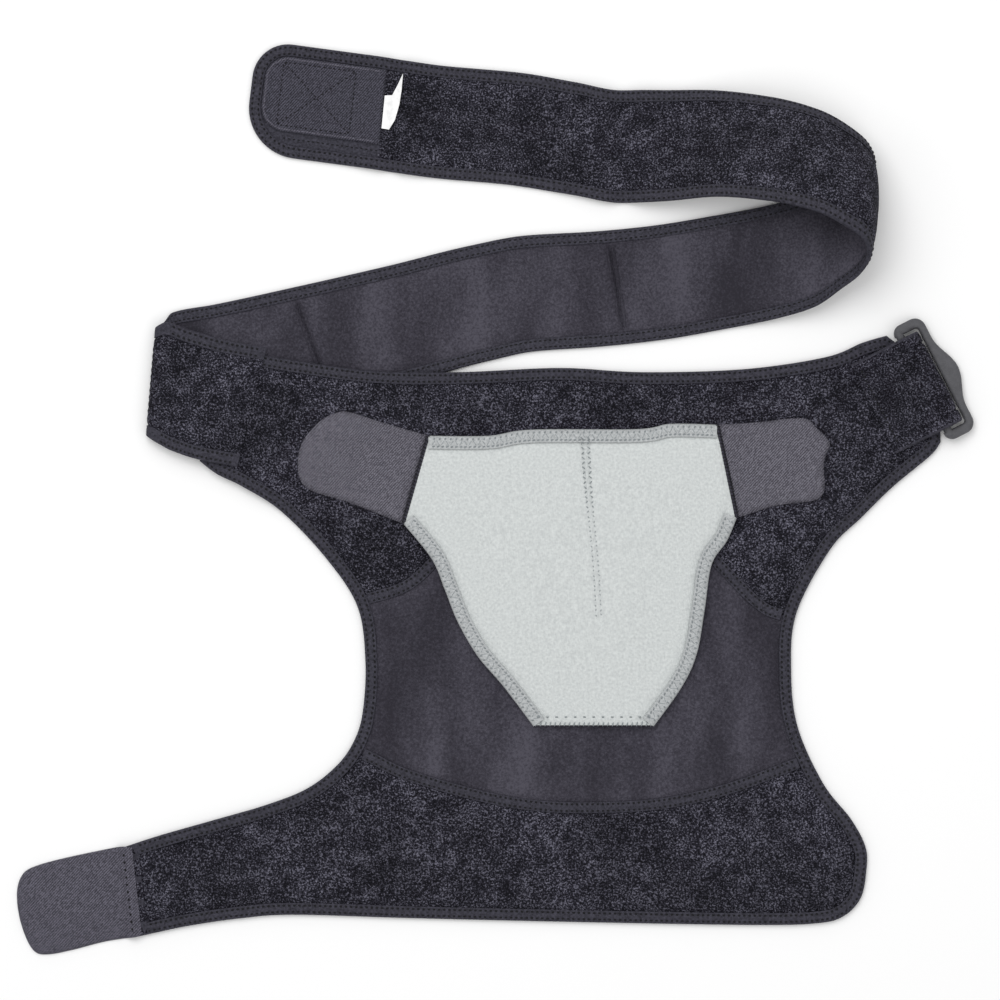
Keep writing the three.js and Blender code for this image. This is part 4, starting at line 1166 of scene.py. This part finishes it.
def hook_tabs():
    """The arm band's tab, sewn over its end, and the pad's two, each with a dark seam along its root."""
    outline = tab_outline(*arm_end, ARM_TAB, ARM_TAB_LENGTH)
    start, end = arm_end
    root = end - start
    inward = left_of(unit(root))
    cover = [end - root * 0.02 + inward * ARM_COVER, start + root * 0.02 + inward * ARM_COVER]
    outline = without_doubles(refined(np.vstack([outline, cover, outline[:1]]), 2 * FINE_STEP)[:-1])
    hook_tab("arm_tab", "arm_hook_tab", start, end, outline, 0.0, BODY_WALL + SUNK)
    line = np.array([start + root * 0.05, end - root * 0.05]) - inward * ARM_SEWN_OUT
    stitches("arm_tab_stitches", "grey_hook", THREAD, "arm tab", [(line, BODY_WALL + ARM_SEWN_HIGH)], lay)
    section = ring_of(10, *TAB_SEAM_SIZE) + TAB_SEAM_MIDDLE + [0, ON_BODY]
    for side, start, end, places, length in (
        ("left", pad_top[0], pad_left[-1], LEFT_TAB, LEFT_TAB_LENGTH),
        ("right", pad_right[0], pad_top[-1], RIGHT_TAB, RIGHT_TAB_LENGTH),
    ):
        name, outline = f"{side}_tab", tab_outline(start, end, places, length)
        away = hook_tab(name, f"{side}_pad_tab", start, end, outline, ON_BODY, 0.0)
        line = refined(np.array([start, end]), FINE_STEP)
        finish(sweep(f"{name}_seam", line, section, lay), "dark_tape", DARK_TAPE)
        rows_of = [(line + away * 2 * SUNK, ON_BODY + TAB_SEWN_HIGH)]
        stitches(f"{name}_notches", "dark_tape", THREAD, "notches", rows_of, lay)


# The buckle
SLOT_CORNER_RADIUS = 0.0016
RING_EDGE_ROUND = 0.0014


def buckle_outline():
    """Outline of the ring without its inner bar, so that the slot opens at the back."""
    half = SLOT_LENGTH / 2 + BUCKLE_SIDE
    back, front = -BUCKLE_SIDE / 2, PIVOT_BACK + OUTER_BAR_WIDTH
    share = np.linspace(-1, 1, 30)
    bulge = front + BULGE_DEPTH * np.cos(share * math.pi / 2) ** 2
    near, far = front - CORNER_RADIUS, half - CORNER_RADIUS
    back_near, back_far = back + BACK_CORNER_RADIUS, half - BACK_CORNER_RADIUS
    slot_near, slot_far = PIVOT_BACK - SLOT_CORNER_RADIUS, SLOT_LENGTH / 2 - SLOT_CORNER_RADIUS
    points = np.vstack([
        arc((near, -far), CORNER_RADIUS, -math.pi / 2, 0),
        np.column_stack([bulge, share * BULGE_LENGTH / 2]),
        arc((near, far), CORNER_RADIUS, 0, math.pi / 2),
        arc((back_near, back_far), BACK_CORNER_RADIUS, math.pi / 2, math.pi),
        [[back, SLOT_LENGTH / 2]],
        arc((slot_near, slot_far), SLOT_CORNER_RADIUS, math.pi / 2, 0, 6),
        arc((slot_near, -slot_far), SLOT_CORNER_RADIUS, 0, -math.pi / 2, 6),
        [[back, -SLOT_LENGTH / 2]],
        arc((back_near, -back_far), BACK_CORNER_RADIUS, math.pi, 1.5 * math.pi),
    ])
    return without_doubles(refined(closed(points), FINE_STEP)[:-1])


def lay_buckle(points, heights):
    reach = PIVOT_BACK + OUTER_BAR_WIDTH + BULGE_DEPTH
    far = math.hypot(reach, BUCKLE_WALL / 2)
    tilt = math.asin((FOLD_OUTER - TABLE_CLEARANCE) / far) - math.atan2(BUCKLE_WALL / 2, reach)
    x, y = points.T
    out = x * math.cos(tilt) + heights * math.sin(tilt)
    up = -x * math.sin(tilt) + heights * math.cos(tilt)
    flat = hinge[:2] + out[:, None] * outer - y[:, None] * along
    return np.column_stack([flat, hinge[2] + up])


def slide_buckle():
    """Plastic ring, its inner bar a round one of its own."""
    outline = buckle_outline()
    points, faces = filled(outline, FINE_STEP)
    depth = distance_to([closed(outline)], points)
    half = BUCKLE_WALL / 2 * (0.45 + 0.55 * rounded_edge(depth, RING_EDGE_ROUND))
    ring = shell("slide_ring", points, faces, half, -half, lay_buckle, body="buckle", sharp=60)
    finish(ring, "dark_plastic", PLASTIC, "slide_buckle")
    reach = (SLOT_LENGTH + BUCKLE_SIDE) / 2
    line = np.array([[0, -reach], [0, reach]])
    bar = sweep("slide_bar", line, ring_of(24, BAR_RADIUS, BAR_RADIUS), lay_buckle, body="buckle")
    finish(bar, "dark_plastic", PLASTIC)


# The photograph's frame on the table: its width, and its middle in the row frame
FRAME_WIDTH = 0.52
FRAME_CENTRE = (0.002475, -0.000408)

# The studio, its two soft lights in columns [name, place, size, energy]
FLOOR_SIZE = 6
FLOOR_DROP = 0.0001
FLOOR_TONE = 0.92
WORLD_STRENGTH = 0.72
LIGHTS = [["key", (-0.45, 0.85, 1.7), 1.4, 17], ["fill", (0.9, -0.7, 1.8), 1.6, 4.5]]
CAMERA_HEIGHT = 4.0
SENSOR_WIDTH = 36


def studio():
    """Pale floor, soft light from above and a camera straight overhead."""
    scene = bpy.context.scene
    scene.view_settings.view_transform = "Standard"
    bpy.ops.mesh.primitive_plane_add(size=FLOOR_SIZE, location=(0, 0, -FLOOR_DROP))
    floor = bpy.context.object
    floor.name = "floor"
    floor_finish = Cloth("floor", 0.9)
    floor_finish.colour((FLOOR_TONE, FLOOR_TONE, FLOOR_TONE, 1))
    floor.data.materials.append(floor_finish.material)
    world = bpy.data.worlds.new("studio")
    world.use_nodes = True
    background = world.node_tree.nodes["Background"]
    background.inputs["Color"].default_value = (1, 1, 1, 1)
    background.inputs["Strength"].default_value = WORLD_STRENGTH
    scene.world = world
    for name, place, size, energy in LIGHTS:
        light = bpy.data.lights.new(name, "AREA")
        light.energy = energy
        light.size = size
        lamp = bpy.data.objects.new(name, light)
        lamp.location = place
        lamp.rotation_euler = (-Vector(place)).to_track_quat("-Z", "Y").to_euler()
        scene.collection.objects.link(lamp)
    camera = bpy.data.cameras.new("camera")
    camera.sensor_width = SENSOR_WIDTH
    camera.lens = SENSOR_WIDTH * CAMERA_HEIGHT / FRAME_WIDTH
    camera.clip_end = 20
    eye = bpy.data.objects.new("camera", camera)
    eye.location = (*FRAME_CENTRE, CAMERA_HEIGHT)
    scene.collection.objects.link(eye)
    scene.camera = eye


body_panels()
body_bindings()
flap_stitches()
seam_tapes()
strap_web()
strap_binding()
hook_patch()
label_tag()
pressure_pad()
pad_bindings()
hook_tabs()
slide_buckle()
studio()
